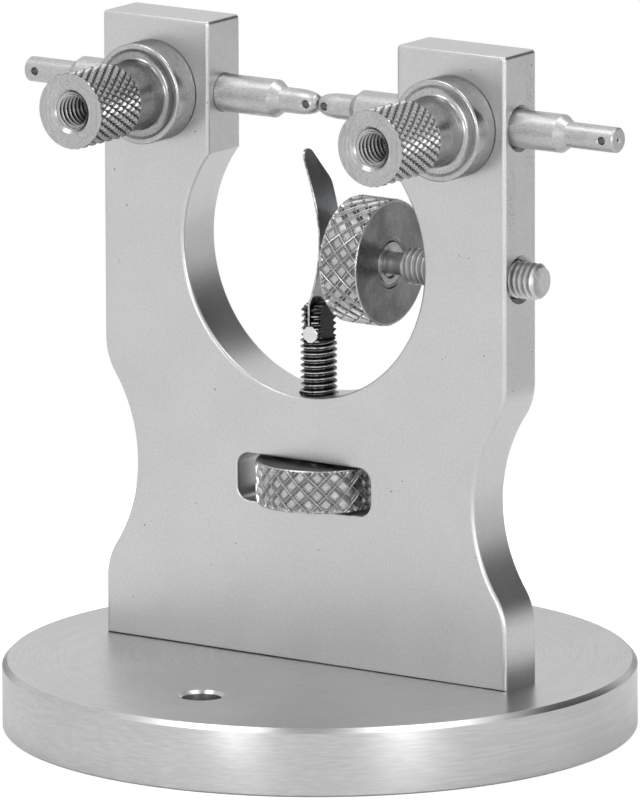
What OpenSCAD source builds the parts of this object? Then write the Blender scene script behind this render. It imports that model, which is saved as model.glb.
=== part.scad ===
// Balance truing caliper: two clamped runners on a slotted plate, with an adjustable index leaf between them.
// The origin is the centre of the base's underside. The plate stands in the XZ plane and its front faces -Y.

/* [Base] */
// Diameter of the base disc
base_d = 50; // [46:0.5:60]
// Thickness of the base disc
base_h = 5.4; // [5:0.1:8]
// Chamfer on the upper rim of the base
base_edge = 0.4; // [0.1:0.1:0.8]
// Chamfer on its lower rim
base_foot_edge = 0.15; // [0.05:0.05:0.4]
// Distance of the front hole from the middle of the base
base_hole_y = 16.2; // [10:0.1:19]
// Diameter of the front hole
base_hole_d = 3.2; // [2:0.1:4.5]
// Chamfer at the mouth of the front hole
base_hole_edge = 0.25; // [0.1:0.05:0.5]

/* [Frame plate] */
// Width of the plate at its foot and across the arms
plate_w = 38; // [36:0.5:42]
// Height of the plate above the base
plate_h = 50.1; // [49:0.1:56]
// Thickness of the plate
plate_t = 4.35; // [4.1:0.05:6]
// Width of the gap between the arms
arm_gap = 17.8; // [14:0.1:19]
// Radius of the round opening
opening_r = 11.37; // [10.5:0.01:12]
// Height of the round opening's centre above the base
opening_rise = 32.5; // [32:0.1:33.5]
// Width of the plate at its waist
waist_w = 32; // [28:0.5:34]
// Radius of each hollow at the waist
waist_r = 12.2; // [11:0.1:14]
// Height of the waist above the base
waist_rise = 14.2; // [13:0.1:16]
// Radius of the corners where the waist meets the straight sides
blend_r = 5.1; // [3.5:0.1:6]
// Width of the slot for the height nut
slot_w = 12.6; // [11.5:0.1:15]
// Height of the slot
slot_h = 3.8; // [3.6:0.1:5]
// Corner radius of the slot
slot_corner = 1.1; // [0.5:0.1:1.6]
// Height of the slot's middle above the base
slot_rise = 14.2; // [13.5:0.1:15]
// Chamfer on the plate's outer edges and on the opening
edge_break = 0.3; // [0.1:0.05:0.5]

/* [Base screws] */
// Nominal thread diameter of every screw on the caliper
thread_d = 3; // [2.6:0.1:3.2]
// Distance of each base screw from the side of the plate
fix_inset = 7; // [5:0.5:10]
// Diameter of a base screw's head
fix_head_d = 5.5; // [5:0.1:6]
// Height of a base screw's head
fix_head_h = 2.6; // [2:0.1:3]
// Depth of the head below the underside
fix_sunk = 0.3; // [0.1:0.1:0.8]
// Length of thread in the plate
fix_grip = 5.5; // [4:0.5:8]
// Width across flats of the hexagon socket
fix_key = 2.5; // [1.5:0.5:3]
// Depth of the hexagon socket
fix_key_depth = 1.4; // [1:0.1:1.7]

/* [Runners] */
// Distance of the runners below the top of the plate
runner_drop = 5.9; // [5.2:0.1:6.3]
// Diameter of a runner's body
runner_d = 3; // [2.6:0.1:3.2]
// Diameter of a runner's turned-down ends
runner_end_d = 2; // [1.6:0.1:2.4]
// Length of the turned-down inner end
nose_len = 4; // [3.5:0.1:5]
// Length of the body between its shoulders
runner_body = 19.3; // [17:0.1:21]
// Length of the turned-down outer end
runner_tail = 4.4; // [4:0.1:6]
// Axial length of each shoulder's cone
shoulder_len = 0.7; // [0.3:0.1:1]
// Rounding of the outer end's rim
runner_edge = 0.28; // [0.1:0.02:0.4]
// Length of the rounded point of the nose
nose_round = 1.9; // [1.2:0.1:2.5]
// Diameter of the flat at the very tip
tip_d = 0.9; // [0.7:0.1:1.2]
// Diameter of the cross hole near each end
cross_d = 0.65; // [0.4:0.05:0.8]
// Distance of the inner cross hole from the tip
cross_in = 0.75; // [0.6:0.05:1]
// Distance of the outer cross hole from the end face
cross_out = 1; // [0.7:0.1:1.6]
// Diameter of the pivot seat drilled in each end face
pivot_d = 0.3; // [0.2:0.05:0.4]
// Place of the point where the two tips meet, to the right of the middle
meet_x = 0.25; // [0:0.05:0.5]
// Gap between the two tips
tip_gap = 0.2; // [0.1:0.05:1]

/* [Runner clamps] */
// Distance of each clamp from the outer side of its arm
clamp_inset = 4.9; // [4.8:0.1:5.1]
// Diameter of the clamp nut's flange
flange_d = 8; // [7:0.1:9]
// Thickness of the flange
flange_t = 2.4; // [1.8:0.1:3]
// Rounding of the flange's rim
flange_rim = 0.2; // [0.1:0.02:0.3]
// Depth of the dish in the flange's front
dish_depth = 0.12; // [0.05:0.01:0.3]
// Fillet between the neck and the flange
neck_fillet = 0.45; // [0.2:0.05:0.6]
// Diameter of the smooth neck
neck_d = 5.4; // [5.2:0.1:5.6]
// Diameter of the knurled barrel
knob_d = 6; // [5.8:0.1:7]
// Length of the knurled barrel
knob_len = 5.6; // [4:0.1:7]
// Length of the whole clamp nut
nut_len = 11.3; // [10.5:0.1:13]
// Number of diamonds round the barrel
knob_diamonds = 22; // [16:2:28]
// Depth of the barrel's knurl
knob_depth = 0.22; // [0.1:0.01:0.25]
// Diameter of the countersink in the front face
sink_d = 3.6; // [3.4:0.1:4.2]
// Diameter of the draw bolt's body
bolt_d = 4.8; // [4.6:0.1:5]
// How far the draw bolt's body reaches into the flange
bolt_step = 0.75; // [0.4:0.05:1]
// Depth of the recess for it in the back of the flange
recess_h = 1; // [0.9:0.05:1.4]
// Length of the draw bolt's threaded stem
stem_len = 6.2; // [4:0.1:7]
// Travel of the draw bolt between clamped and free
clamp_play = 0.25; // [0.1:0.05:0.4]

/* [Side adjuster] */
// Height of the side adjuster's axis above the base
side_rise = 32.3; // [32.2:0.1:33]
// Diameter of the two knurled wheels
wheel_d = 10; // [9:0.1:11]
// Thickness of the side wheel
wheel_t = 3.5; // [3:0.1:4]
// Number of diamonds round each wheel
wheel_diamonds = 22; // [16:2:28]
// Depth of the wheels' knurl
wheel_depth = 0.3; // [0.1:0.05:0.4]
// Distance of the side wheel's outer face from the middle of the plate
wheel_face_x = 6.9; // [6.6:0.1:8]
// Diameter of the bare neck behind the thread
stud_neck_d = 1.8; // [1.6:0.1:2.2]
// Length of the bare neck
stud_neck = 1.5; // [0.8:0.1:2]
// How far the stud stands out of the arm
stud_out = 2; // [1:0.1:3]
// Diameter of the countersink at each mouth of the stud's hole
mouth_d = 3.8; // [3.5:0.1:4.2]
// Depth of the stud's spigot in the wheel
spigot = 1.5; // [1:0.1:1.8]
// Diameter of the staked ring round the neck
stake_d = 4; // [3:0.1:4.6]
// Width of the staked ring
stake_w = 0.3; // [0.2:0.05:0.5]
// Depth of the staked ring
stake_h = 0.15; // [0.05:0.05:0.3]
// Chamfer on both ends of the stud's thread
stud_edge = 0.25; // [0.1:0.05:0.4]
// Diameter of the pusher pin
pusher_d = 1.6; // [1.2:0.1:2]
// Depth of the pusher pin's hole in the wheel
pusher_in = 1.5; // [1:0.1:1.6]
// Gap between the pusher pin and the leaf
pusher_gap = 0.08; // [0.05:0.01:0.2]

/* [Height adjuster] */
// Thickness of the height nut
height_nut_t = 3.4; // [3:0.1:3.5]
// Length of the index screw below the slot
index_tail = 5.2; // [4:0.1:5.5]
// Lowest travel of the index screw
index_down = 4; // [2:0.1:4]
// Spare depth of the tapped hole below that travel
index_spare = 0.5; // [0.2:0.1:0.8]

/* [Index leaf] */
// Distance of the leaf's pivot below the side adjuster's axis
pivot_drop = 6.3; // [6.2:0.1:6.8]
// Thickness of the tongue on top of the index screw
tongue_t = 1.7; // [1.6:0.05:2]
// Height of the tongue's domed top above the pivot
tongue_top = 2.55; // [2.2:0.05:2.8]
// Radius of the tongue's domed top
dome_r = 1.95; // [1.6:0.05:2.5]
// Depth of the tongue's flats below the pivot
tongue_foot = 0.45; // [0.3:0.05:1.2]
// Width of the slot sawn in the tongue
saw_w = 0.56; // [0.52:0.02:0.7]
// Diameter of the pivot pin
pin_d = 1.4; // [1.2:0.05:1.45]
// Length of the pivot pin
pin_len = 2.5; // [2.3:0.1:2.8]
// Thickness of the leaf
leaf_t = 0.2; // [0.15:0.01:0.25]
// Width of the leaf
leaf_w = 2.85; // [2.4:0.05:3]
// Distance of the leaf's tip below the runners' axis
leaf_gap = 3.5; // [3:0.1:5]
// Sideways bow of the leaf
leaf_bow = 1.07; // [0.6:0.01:1.3]
// Height above the pivot where the bow starts
bow_from = 2.15; // [2.1:0.05:2.4]
// Height over which the leaf bows out and comes back
bow_len = 10.65; // [9.5:0.05:12]
// Height over which the bow eases out of the sawn slot
bow_ease = 0.9; // [0.6:0.1:1.5]
// Radius of the leaf's tip
leaf_tip_r = 0.74; // [0.4:0.02:0.9]
// Height of the slanting edge at the leaf's tip
leaf_slant = 3.1; // [2.5:0.1:4]
// Radius of the corner under the slanting edge
leaf_shoulder_r = 1.5; // [1:0.1:2]
// Width of the tang that sits in the pin
tang_w = 1.9; // [1.5:0.1:2]

/* [Fits] */
// Radial clearance of the base screws in the base
screw_gap = 0.15; // [0.1:0.05:0.3]
// Radial clearance of a shaft or thread that turns or slides
run_gap = 0.05; // [0.02:0.01:0.08]
// Radial clearance of a piece that is pressed or staked in
press_gap = 0.01; // [0.005:0.005:0.02]

/* [Hidden] */
$fn = 96;
over = 1;
plate_top = base_h + plate_h;
opening_z = base_h + opening_rise;
side_z = base_h + side_rise;
waist_z = base_h + waist_rise;
slot_z = base_h + slot_rise;
runner_z = plate_top - runner_drop;
arm_x = (plate_w + arm_gap) / 4;
arm_foot_z = opening_z + sqrt(pow(opening_r, 2) - pow(arm_gap / 2, 2));
waist_x = waist_w / 2 + waist_r;
blend_x = plate_w / 2 - blend_r;
blend_dz = sqrt(pow(waist_r + blend_r, 2) - pow(waist_x - blend_x, 2));
blend_angle = atan2(blend_dz, waist_x - blend_x);
runner_len = nose_len + runner_body + runner_tail;
fix_x = plate_w / 2 - fix_inset;
clamp_x = plate_w / 2 - clamp_inset;
thread_r = thread_d / 2;
tapped_r = thread_r + run_gap;
pivot_z = side_z - pivot_drop;
leaf_h = runner_z - pivot_z - leaf_gap;
cross_bore_r = runner_d / 2 + run_gap + clamp_play / 2;
screw_bottom_z = slot_z - slot_h / 2 - index_tail;
fix_head_z = fix_sunk + fix_head_h;
wheel_left_x = wheel_face_x - wheel_t;
pusher_x = leaf_x(pivot_drop) + leaf_t / 2 + pusher_gap;

// Sideways place of the leaf at a height above its pivot: a half sine that eases out of the sawn slot
function ease(t) = t < 0 ? 0 : t > 1 ? 1 : t * t * (3 - 2 * t);
function leaf_x(h) = leaf_bow * sin(180 * max(0, h - bow_from) / bow_len) * ease((h - bow_from) / bow_ease);

// Points on a circular arc, both ends included
function arc(x, y, r, from, to, n) =
    [for (k = [0:n]) let (a = from + (to - from) * k / n) [x + r * cos(a), y + r * sin(a)]];

// A bar with a square section on its corner, whose lower half cuts a chamfer along an edge
module edge_bar(len, size) {
    cube_side = size * sqrt(2);
    rotate([0, 0, 45]) cube([cube_side, cube_side, len], center = true);
}

// A round cut through the plate with both its rims broken
module round_cut(r, rim) {
    cylinder(r = r, h = plate_t + 2 * over, center = true);
    for (face = [0, 1])
        mirror([0, 0, face]) translate([0, 0, plate_t / 2 - rim])
            cylinder(r1 = r, r2 = r + 2 * rim, h = 2 * rim);
}

// A convex corner of the plate with both its rims broken
module round_corner(r, rim) {
    half = plate_t / 2;
    rotate_extrude()
        polygon([
            [0, -half - rim], [r - 2 * rim, -half - rim], [r, -half + rim],
            [r, half - rim], [r - 2 * rim, half + rim], [0, half + rim]
        ]);
}

// One hollow at the waist, with the two corners where it meets the straight side
module waist_cut() {
    reach = waist_r + over;
    translate([waist_x, waist_z, 0]) round_cut(waist_r, edge_break);
    for (up = [0, 1])
        translate([blend_x, waist_z, 0]) mirror([0, up, 0]) translate([0, blend_dz, 0])
            difference() {
                linear_extrude(plate_t + 2 * over, center = true)
                    polygon([[0, 0], [reach, 0], [reach * cos(blend_angle), -reach * sin(blend_angle)]]);
                round_corner(blend_r, edge_break);
            }
}

// The slot for the height nut, a rectangle with round corners
module slot_cut() {
    inner_w = slot_w - 2 * slot_corner;
    inner_h = slot_h - 2 * slot_corner;
    depth = plate_t + 2 * over;
    cube([slot_w, inner_h, depth], center = true);
    cube([inner_w, slot_h, depth], center = true);
    for (x = [-1, 1], y = [-1, 1])
        translate([x * inner_w / 2, y * inner_h / 2, 0]) cylinder(r = slot_corner, h = depth, center = true);
}

// Every cut in the plate's outline, drawn flat with the plate's thickness along the third axis
module outline_cuts() {
    translate([0, opening_z, 0]) round_cut(opening_r, edge_break);
    translate([-arm_gap / 2, opening_z, -plate_t / 2 - over])
        cube([arm_gap, plate_top - opening_z + over, plate_t + 2 * over]);
    for (side = [0, 1]) mirror([side, 0, 0]) waist_cut();
    translate([0, slot_z, 0]) slot_cut();
}

// Chamfers along the straight edges of the plate's two faces and across the tops of the arms. The bars on
// the sides stop where the waist's corners start, and those on the arms run a little into the round opening.
module straight_edges() {
    low_len = waist_z - blend_dz;
    high_len = plate_top + over - waist_z - blend_dz;
    inner_from = arm_foot_z - 2 * edge_break;
    inner_len = plate_top + over - inner_from;
    for (side = [-1, 1], face = [-1, 1]) {
        translate([side * plate_w / 2, low_len / 2, face * plate_t / 2])
            rotate([90, 0, 0]) edge_bar(low_len, edge_break);
        translate([side * plate_w / 2, plate_top + over - high_len / 2, face * plate_t / 2])
            rotate([90, 0, 0]) edge_bar(high_len, edge_break);
        translate([side * arm_gap / 2, inner_from + inner_len / 2, face * plate_t / 2])
            rotate([90, 0, 0]) edge_bar(inner_len, edge_break);
        translate([side * arm_x, plate_top, face * plate_t / 2])
            rotate([0, 90, 0]) edge_bar(plate_w / 2 - arm_gap / 2 + over, edge_break);
    }
    for (x = [-plate_w / 2, -arm_gap / 2, arm_gap / 2, plate_w / 2])
        translate([x, plate_top, 0]) edge_bar(plate_t + over, edge_break);
}

// A bore along X between two places
module bore_x(from, to, r) {
    translate([from, 0, 0]) rotate([0, 90, 0]) cylinder(r = r, h = to - from);
}

// Disc that widens to its right end, for the mouth of a hole that opens towards +X
module mouth_x(x, r, wide) {
    translate([x - (wide - r), 0, 0]) rotate([0, 90, 0])
        cylinder(r1 = r, r2 = 2 * wide - r, h = 2 * (wide - r));
}

module frame() {
    color([0.78, 0.78, 0.77])
        difference() {
            rotate([90, 0, 0]) difference() {
                difference() {
                    translate([-plate_w / 2, base_h, -plate_t / 2]) cube([plate_w, plate_h, plate_t]);
                    outline_cuts();
                }
                straight_edges();
            }
            for (side = [0, 1]) mirror([side, 0, 0]) {
                translate([0, 0, runner_z]) {
                    bore_x(arm_gap / 2 - over, plate_w / 2 + over, runner_d / 2 + run_gap);
                    mouth_x(plate_w / 2, runner_d / 2 + run_gap, runner_d / 2 + edge_break);
                }
                translate([clamp_x, 0, runner_z]) rotate([90, 0, 0])
                    cylinder(r = bolt_d / 2 + run_gap, h = plate_t + 2 * over, center = true);
                translate([fix_x, 0, base_h - over]) cylinder(r = tapped_r, h = fix_grip + 2 * over);
            }
            translate([0, 0, side_z]) {
                bore_x(opening_r - over, plate_w / 2 + over, tapped_r);
                mouth_x(plate_w / 2, tapped_r, mouth_d / 2);
            }
            translate([0, 0, screw_bottom_z - index_down - index_spare])
                cylinder(r = tapped_r, h = opening_z - screw_bottom_z);
        }
}

module base() {
    color([0.74, 0.74, 0.73])
        difference() {
            rotate_extrude()
                polygon([
                    [0, 0], [base_d / 2 - base_foot_edge, 0], [base_d / 2, base_foot_edge],
                    [base_d / 2, base_h - base_edge], [base_d / 2 - base_edge, base_h], [0, base_h]
                ]);
            translate([0, -base_hole_y, 0]) {
                translate([0, 0, -over]) cylinder(d = base_hole_d, h = base_h + 2 * over);
                translate([0, 0, base_h - base_hole_edge])
                    cylinder(r1 = base_hole_d / 2, r2 = base_hole_d / 2 + 2 * base_hole_edge, h = 2 * base_hole_edge);
            }
            for (side = [-1, 1]) translate([side * fix_x, 0, -over]) {
                cylinder(r = thread_r + screw_gap, h = base_h + 2 * over);
                cylinder(r = fix_head_d / 2 + screw_gap, h = over + fix_head_z);
            }
        }
}

// Socket-head screw that comes up through the base into the plate
module base_screw(side) {
    color([0.24, 0.24, 0.25])
        translate([side * fix_x, 0, 0]) difference() {
            union() {
                translate([0, 0, fix_sunk]) cylinder(d = fix_head_d, h = fix_head_h);
                translate([0, 0, fix_sunk]) cylinder(r = thread_r, h = fix_head_h + base_h - fix_head_z + fix_grip);
            }
            translate([0, 0, fix_sunk - over])
                cylinder(d = fix_key / cos(30), h = over + fix_key_depth, $fn = 6);
        }
}

// A band of diamond knurling round Z. A groove follows every line that runs up the band at 45 degrees,
// either way, and parts is the number of steps in a diamond: 2 gives points and 4 gives flat lands.
module knurl_band(d, len, depth, diamonds, parts) {
    n = diamonds * parts;
    edge = depth;
    rows = max(2, round((len - 2 * edge) / (PI * d / n)));
    levels = concat([0], [for (j = [0:rows]) edge + (len - 2 * edge) * j / rows], [len]);
    last = len(levels) - 1;
    function groove(i, j) = (i + j) % parts == 0 || (i - j + parts * rows) % parts == 0;
    function radius(i, j) = d / 2 - (j == 0 || j == last ? edge : groove(i, j) ? depth : 0);
    function at(i, j) = j * n + i % n;
    points = [
        for (j = [0:last], i = [0:n - 1])
            let (r = radius(i, j), a = 360 * i / n) [r * cos(a), r * sin(a), levels[j]]
    ];
    walls = [
        for (j = [0:last - 1], i = [0:n - 1])
            each (i + j + 1) % parts == 0
                ? [[at(i, j), at(i, j + 1), at(i + 1, j)], [at(i + 1, j), at(i, j + 1), at(i + 1, j + 1)]]
                : [[at(i, j), at(i, j + 1), at(i + 1, j + 1)], [at(i, j), at(i + 1, j + 1), at(i + 1, j)]]
    ];
    ends = [[for (i = [0:n - 1]) i], [for (i = [n - 1:-1:0]) last * n + i]];
    polyhedron(points, concat(walls, ends));
}

// Turned profile of the clamp nut behind its barrel: flange, dished front, fillet and neck
module clamp_nut_profile() {
    neck_r = neck_d / 2;
    flange_r = flange_d / 2;
    dish_z = flange_t - dish_depth;
    land_r = flange_r - 2 * flange_rim;
    polygon(concat(
        [[0, 0], [flange_r - flange_rim / 2, 0], [flange_r, flange_rim / 2]],
        arc(flange_r - flange_rim, flange_t - flange_rim, flange_rim, 0, 90, 6),
        [[land_r, flange_t], [land_r - dish_depth, dish_z], [neck_r + neck_fillet, dish_z]],
        arc(neck_r + neck_fillet, dish_z + neck_fillet, neck_fillet, 270, 180, 6),
        [[neck_r, nut_len - knob_len / 2], [0, nut_len - knob_len / 2]]
    ));
}

// Flanged clamp nut with a knurled barrel and a tapped hole right through
module clamp_nut(side) {
    sink_r = sink_d / 2;
    color([0.68, 0.68, 0.67])
        translate([side * clamp_x, -plate_t / 2, runner_z]) rotate([90, 0, 0]) difference() {
            union() {
                rotate_extrude() clamp_nut_profile();
                translate([0, 0, nut_len - knob_len]) knurl_band(knob_d, knob_len, knob_depth, knob_diamonds, 2);
            }
            translate([0, 0, -over]) cylinder(r = tapped_r, h = nut_len + 2 * over);
            translate([0, 0, -over]) cylinder(r = bolt_d / 2 + run_gap, h = over + recess_h);
            translate([0, 0, nut_len - (sink_r - tapped_r)])
                cylinder(r1 = tapped_r, r2 = 2 * sink_r - tapped_r, h = 2 * (sink_r - tapped_r));
        }
}

// Draw bolt: its body takes the runner through a cross bore, and its stem is pulled forward by the clamp nut
module draw_bolt(side) {
    body_len = plate_t + bolt_step;
    color([0.6, 0.6, 0.6])
        translate([side * clamp_x, plate_t / 2, runner_z]) difference() {
            rotate([90, 0, 0]) {
                cylinder(d = bolt_d, h = body_len);
                cylinder(r = thread_r, h = body_len + stem_len);
            }
            translate([0, -plate_t / 2 - clamp_play / 2, 0]) rotate([0, 90, 0])
                cylinder(r = cross_bore_r, h = bolt_d + 2 * over, center = true);
        }
}

// Profile of a runner from its tip outwards: ogive nose, shoulders, body and plain outer end
module runner_profile() {
    end_r = runner_end_d / 2;
    body_r = runner_d / 2;
    tip_r = tip_d / 2;
    body_to = nose_len + runner_body;
    polygon(concat(
        [[0, 0]],
        [for (k = [0:8]) let (t = k / 8) [tip_r + (end_r - tip_r) * sqrt(t * (2 - t)), nose_round * t]],
        [
            [end_r, nose_len - shoulder_len], [body_r, nose_len],
            [body_r, body_to - shoulder_len], [end_r, body_to],
            [end_r, runner_len - runner_edge], [end_r - runner_edge, runner_len], [0, runner_len]
        ]
    ));
}

// Runner, made once with its tip at the origin and its length along +X
module runner_blank() {
    difference() {
        rotate([0, 90, 0]) rotate_extrude() runner_profile();
        for (x = [cross_in, runner_len - cross_out])
            translate([x, 0, 0]) rotate([90, 0, 0]) cylinder(d = cross_d, h = runner_d + over, center = true, $fn = 32);
        translate([-over, 0, 0]) rotate([0, 90, 0]) cylinder(d = pivot_d, h = over + cross_in, $fn = 24);
        translate([runner_len - cross_out, 0, 0]) rotate([0, 90, 0])
            cylinder(d = pivot_d, h = over + cross_out, $fn = 24);
    }
}

module left_runner() {
    color([0.72, 0.72, 0.71])
        translate([meet_x - tip_gap / 2, 0, runner_z]) mirror([1, 0, 0]) runner_blank();
}

module right_runner() {
    color([0.72, 0.72, 0.71])
        translate([meet_x + tip_gap / 2, 0, runner_z]) runner_blank();
}

module height_nut() {
    color([0.66, 0.66, 0.65])
        translate([0, 0, slot_z - height_nut_t / 2]) difference() {
            knurl_band(wheel_d, height_nut_t, wheel_depth, wheel_diamonds, 4);
            translate([0, 0, -over]) cylinder(r = tapped_r, h = height_nut_t + 2 * over);
        }
}

// Index screw: its top is a domed tongue with a sawn slot and the pivot hole of the leaf
module index_screw() {
    top_z = pivot_z + tongue_top;
    flats_z = pivot_z - tongue_foot;
    saw_z = pivot_z - pin_d / 4;
    color([0.12, 0.12, 0.13])
        difference() {
            intersection() {
                translate([0, 0, screw_bottom_z]) cylinder(r = thread_r, h = top_z - screw_bottom_z);
                union() {
                    translate([0, 0, top_z - dome_r]) rotate([0, 90, 0]) cylinder(r = dome_r, h = tongue_t, center = true);
                    translate([-tongue_t / 2, -thread_d, flats_z - over])
                        cube([tongue_t, 2 * thread_d, top_z - dome_r - flats_z + over]);
                    translate([-thread_d, -thread_d, screw_bottom_z - over])
                        cube([2 * thread_d, 2 * thread_d, flats_z - screw_bottom_z + over]);
                }
            }
            translate([-saw_w / 2, -thread_d, saw_z]) cube([saw_w, 2 * thread_d, top_z]);
            translate([0, 0, pivot_z]) rotate([90, 0, 0]) cylinder(d = pin_d + run_gap, h = thread_d + over, center = true);
        }
}

// Outline of the leaf seen along X, with its pivot at the origin and the slanting edge at the back
module leaf_outline() {
    half = leaf_w / 2;
    foot = pin_d / 2 + run_gap;
    tip = [leaf_tip_r - half, leaf_h - leaf_tip_r];
    shoulder = [half - leaf_shoulder_r, leaf_h - leaf_slant];
    step = tip - shoulder;
    slant = atan2(step[1], step[0]) - acos((leaf_shoulder_r - leaf_tip_r) / norm(step));
    polygon(concat(
        [[-tang_w / 2, -pin_d / 4], [tang_w / 2, -pin_d / 4], [tang_w / 2, foot], [half, foot]],
        arc(shoulder[0], shoulder[1], leaf_shoulder_r, 0, slant, 6),
        arc(tip[0], tip[1], leaf_tip_r, slant, 180, 12),
        [[-half, foot], [-tang_w / 2, foot]]
    ));
}

// Edge-on shape of the leaf: a strip of even thickness along the bow
module leaf_strip() {
    steps = 36;
    heights = [for (k = [0:steps]) -pin_d / 2 + (leaf_h + pin_d) * k / steps];
    polygon(concat(
        [for (h = heights) [leaf_x(h) - leaf_t / 2, h]],
        [for (k = [steps:-1:0]) [leaf_x(heights[k]) + leaf_t / 2, heights[k]]]
    ));
}

module index_leaf() {
    color([0.16, 0.17, 0.2])
        translate([0, 0, pivot_z]) intersection() {
            rotate([90, 0, 0]) linear_extrude(leaf_w + over, center = true) leaf_strip();
            rotate([90, 0, 90]) linear_extrude(4 * leaf_bow + over, center = true) leaf_outline();
        }
}

// Pivot pin with a blind slit that holds the leaf's tang
module leaf_pin() {
    color([0.88, 0.88, 0.87])
        translate([0, 0, pivot_z]) difference() {
            rotate([90, 0, 0]) cylinder(d = pin_d, h = pin_len, center = true);
            translate([-leaf_t / 2, -tang_w / 2, -pin_d / 4]) cube([leaf_t, tang_w, pin_d]);
        }
}

module side_wheel() {
    color([0.66, 0.66, 0.65])
        translate([wheel_left_x, 0, side_z]) rotate([0, 90, 0]) difference() {
            knurl_band(wheel_d, wheel_t, wheel_depth, wheel_diamonds, 4);
            translate([0, 0, -over]) cylinder(r = pusher_d / 2 + run_gap, h = over + pusher_in);
            translate([0, 0, wheel_t - spigot]) cylinder(r = stud_neck_d / 2 + press_gap, h = spigot + over);
            translate([0, 0, wheel_t - stake_h]) difference() {
                cylinder(d = stake_d, h = stake_h + over);
                translate([0, 0, -over]) cylinder(d = stake_d - 2 * stake_w, h = stake_h + 3 * over);
            }
        }
}

// Threaded stud of the side adjuster: spigot and bare neck, then thread through the arm
module side_stud() {
    end_x = plate_w / 2 + stud_out;
    thread_x = wheel_face_x + stud_neck;
    color([0.55, 0.55, 0.54])
        translate([0, 0, side_z]) rotate([0, 90, 0]) rotate_extrude()
            polygon([
                [0, wheel_face_x - spigot], [stud_neck_d / 2, wheel_face_x - spigot], [stud_neck_d / 2, thread_x],
                [thread_r - stud_edge, thread_x], [thread_r, thread_x + stud_edge],
                [thread_r, end_x - stud_edge], [thread_r - stud_edge, end_x], [0, end_x]
            ]);
}

// Pusher pin: its round end bears on the leaf and its shank runs in the wheel's hole
module pusher_pin() {
    r = pusher_d / 2;
    shank_to = wheel_left_x + pusher_in - run_gap;
    color([0.7, 0.7, 0.7])
        translate([0, 0, side_z]) rotate([0, 90, 0]) rotate_extrude()
            polygon(concat(arc(0, pusher_x + r, r, 270, 360, 10), [[r, shank_to], [0, shank_to]]));
}

base();
frame();
base_screw(-1);  // left_base_screw
base_screw(1);  // right_base_screw
clamp_nut(-1);  // left_clamp_nut
clamp_nut(1);  // right_clamp_nut
draw_bolt(-1);  // left_draw_bolt
draw_bolt(1);  // right_draw_bolt
left_runner();
right_runner();
height_nut();
index_screw();
index_leaf();
leaf_pin();
side_wheel();
side_stud();
pusher_pin();
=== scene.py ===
import math
from functools import partial

import bmesh
import bpy
import numpy as np
from mathutils import Matrix, Vector
from mathutils.geometry import tessellate_polygon


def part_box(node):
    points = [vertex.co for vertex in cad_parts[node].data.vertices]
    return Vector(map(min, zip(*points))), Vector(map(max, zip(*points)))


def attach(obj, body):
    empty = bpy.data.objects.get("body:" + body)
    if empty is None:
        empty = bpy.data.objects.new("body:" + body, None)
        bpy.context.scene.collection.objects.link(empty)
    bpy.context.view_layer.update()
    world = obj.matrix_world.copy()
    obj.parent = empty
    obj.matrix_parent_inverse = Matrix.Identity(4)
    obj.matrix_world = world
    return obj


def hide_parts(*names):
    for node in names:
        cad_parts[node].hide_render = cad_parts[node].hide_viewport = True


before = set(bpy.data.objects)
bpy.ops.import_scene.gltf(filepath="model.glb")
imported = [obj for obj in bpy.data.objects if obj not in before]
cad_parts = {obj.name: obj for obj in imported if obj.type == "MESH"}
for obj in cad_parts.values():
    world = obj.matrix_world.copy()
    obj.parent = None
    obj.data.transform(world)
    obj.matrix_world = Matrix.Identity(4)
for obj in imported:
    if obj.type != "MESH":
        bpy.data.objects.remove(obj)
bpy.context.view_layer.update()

# Lengths below are in millimetres, and makeMesh turns them into metres.
mm = 0.001
weld = 0.0002           # points nearer to each other than this become one
past = 1.0              # how far a cutter reaches past the face that it opens
crispAngle = 32         # in degrees: an edge that turns further is shaded sharp
scene = bpy.context.scene
print("frame loaded")

# The directions that a piece can be turned about: two radial axes, then the way along the axis.
turningAxes = {
    "up": np.array([(1, 0, 0), (0, 1, 0), (0, 0, 1)], float),
    "right": np.array([(0, 1, 0), (0, 0, 1), (1, 0, 0)], float),
    "left": np.array([(0, 1, 0), (0, 0, -1), (-1, 0, 0)], float),
    "front": np.array([(1, 0, 0), (0, 0, 1), (0, -1, 0)], float),
}


def nodeBox(node):
    # the lowest corner, the highest corner and the middle of a CAD node
    low, high = (np.array(corner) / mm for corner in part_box(node))
    return low, high, (low + high) / 2


def arc(x, y, radius, start, stop, steps):
    # (x + radius cos a, y + radius sin a) at even angles a, in degrees
    a = np.radians(np.linspace(start, stop, steps + 1))
    return np.stack([x + radius * np.cos(a), y + radius * np.sin(a)], axis=1)


def softCorners(points, radii, steps=4):
    # every inner corner with a radius becomes an arc that touches both of its sides
    points = np.asarray(points, float)
    out = [points[:1]]
    for before, corner, after, radius in zip(points, points[1:], points[2:], radii):
        if radius == 0:
            out.append(corner[None])
            continue
        u = (before - corner) / np.linalg.norm(before - corner)
        w = (after - corner) / np.linalg.norm(after - corner)
        half = math.acos(np.clip(u @ w, -1, 1)) / 2
        middle = corner + (u + w) / np.linalg.norm(u + w) * radius / math.sin(half)
        start = corner + u * radius / math.tan(half) - middle
        stop = corner + w * radius / math.tan(half) - middle
        turn = math.pi - 2 * half
        t = np.linspace(0, 1, steps + 1)[:, None]
        out.append(middle + (np.sin((1 - t) * turn) * start + np.sin(t * turn) * stop) / math.sin(turn))
    out.append(points[-1:])
    return np.concatenate(out)


def roundAngles(columns):
    # one full turn, with the first angle repeated at the end
    return np.linspace(0, 2 * math.pi, columns + 1)[None, :]


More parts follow.
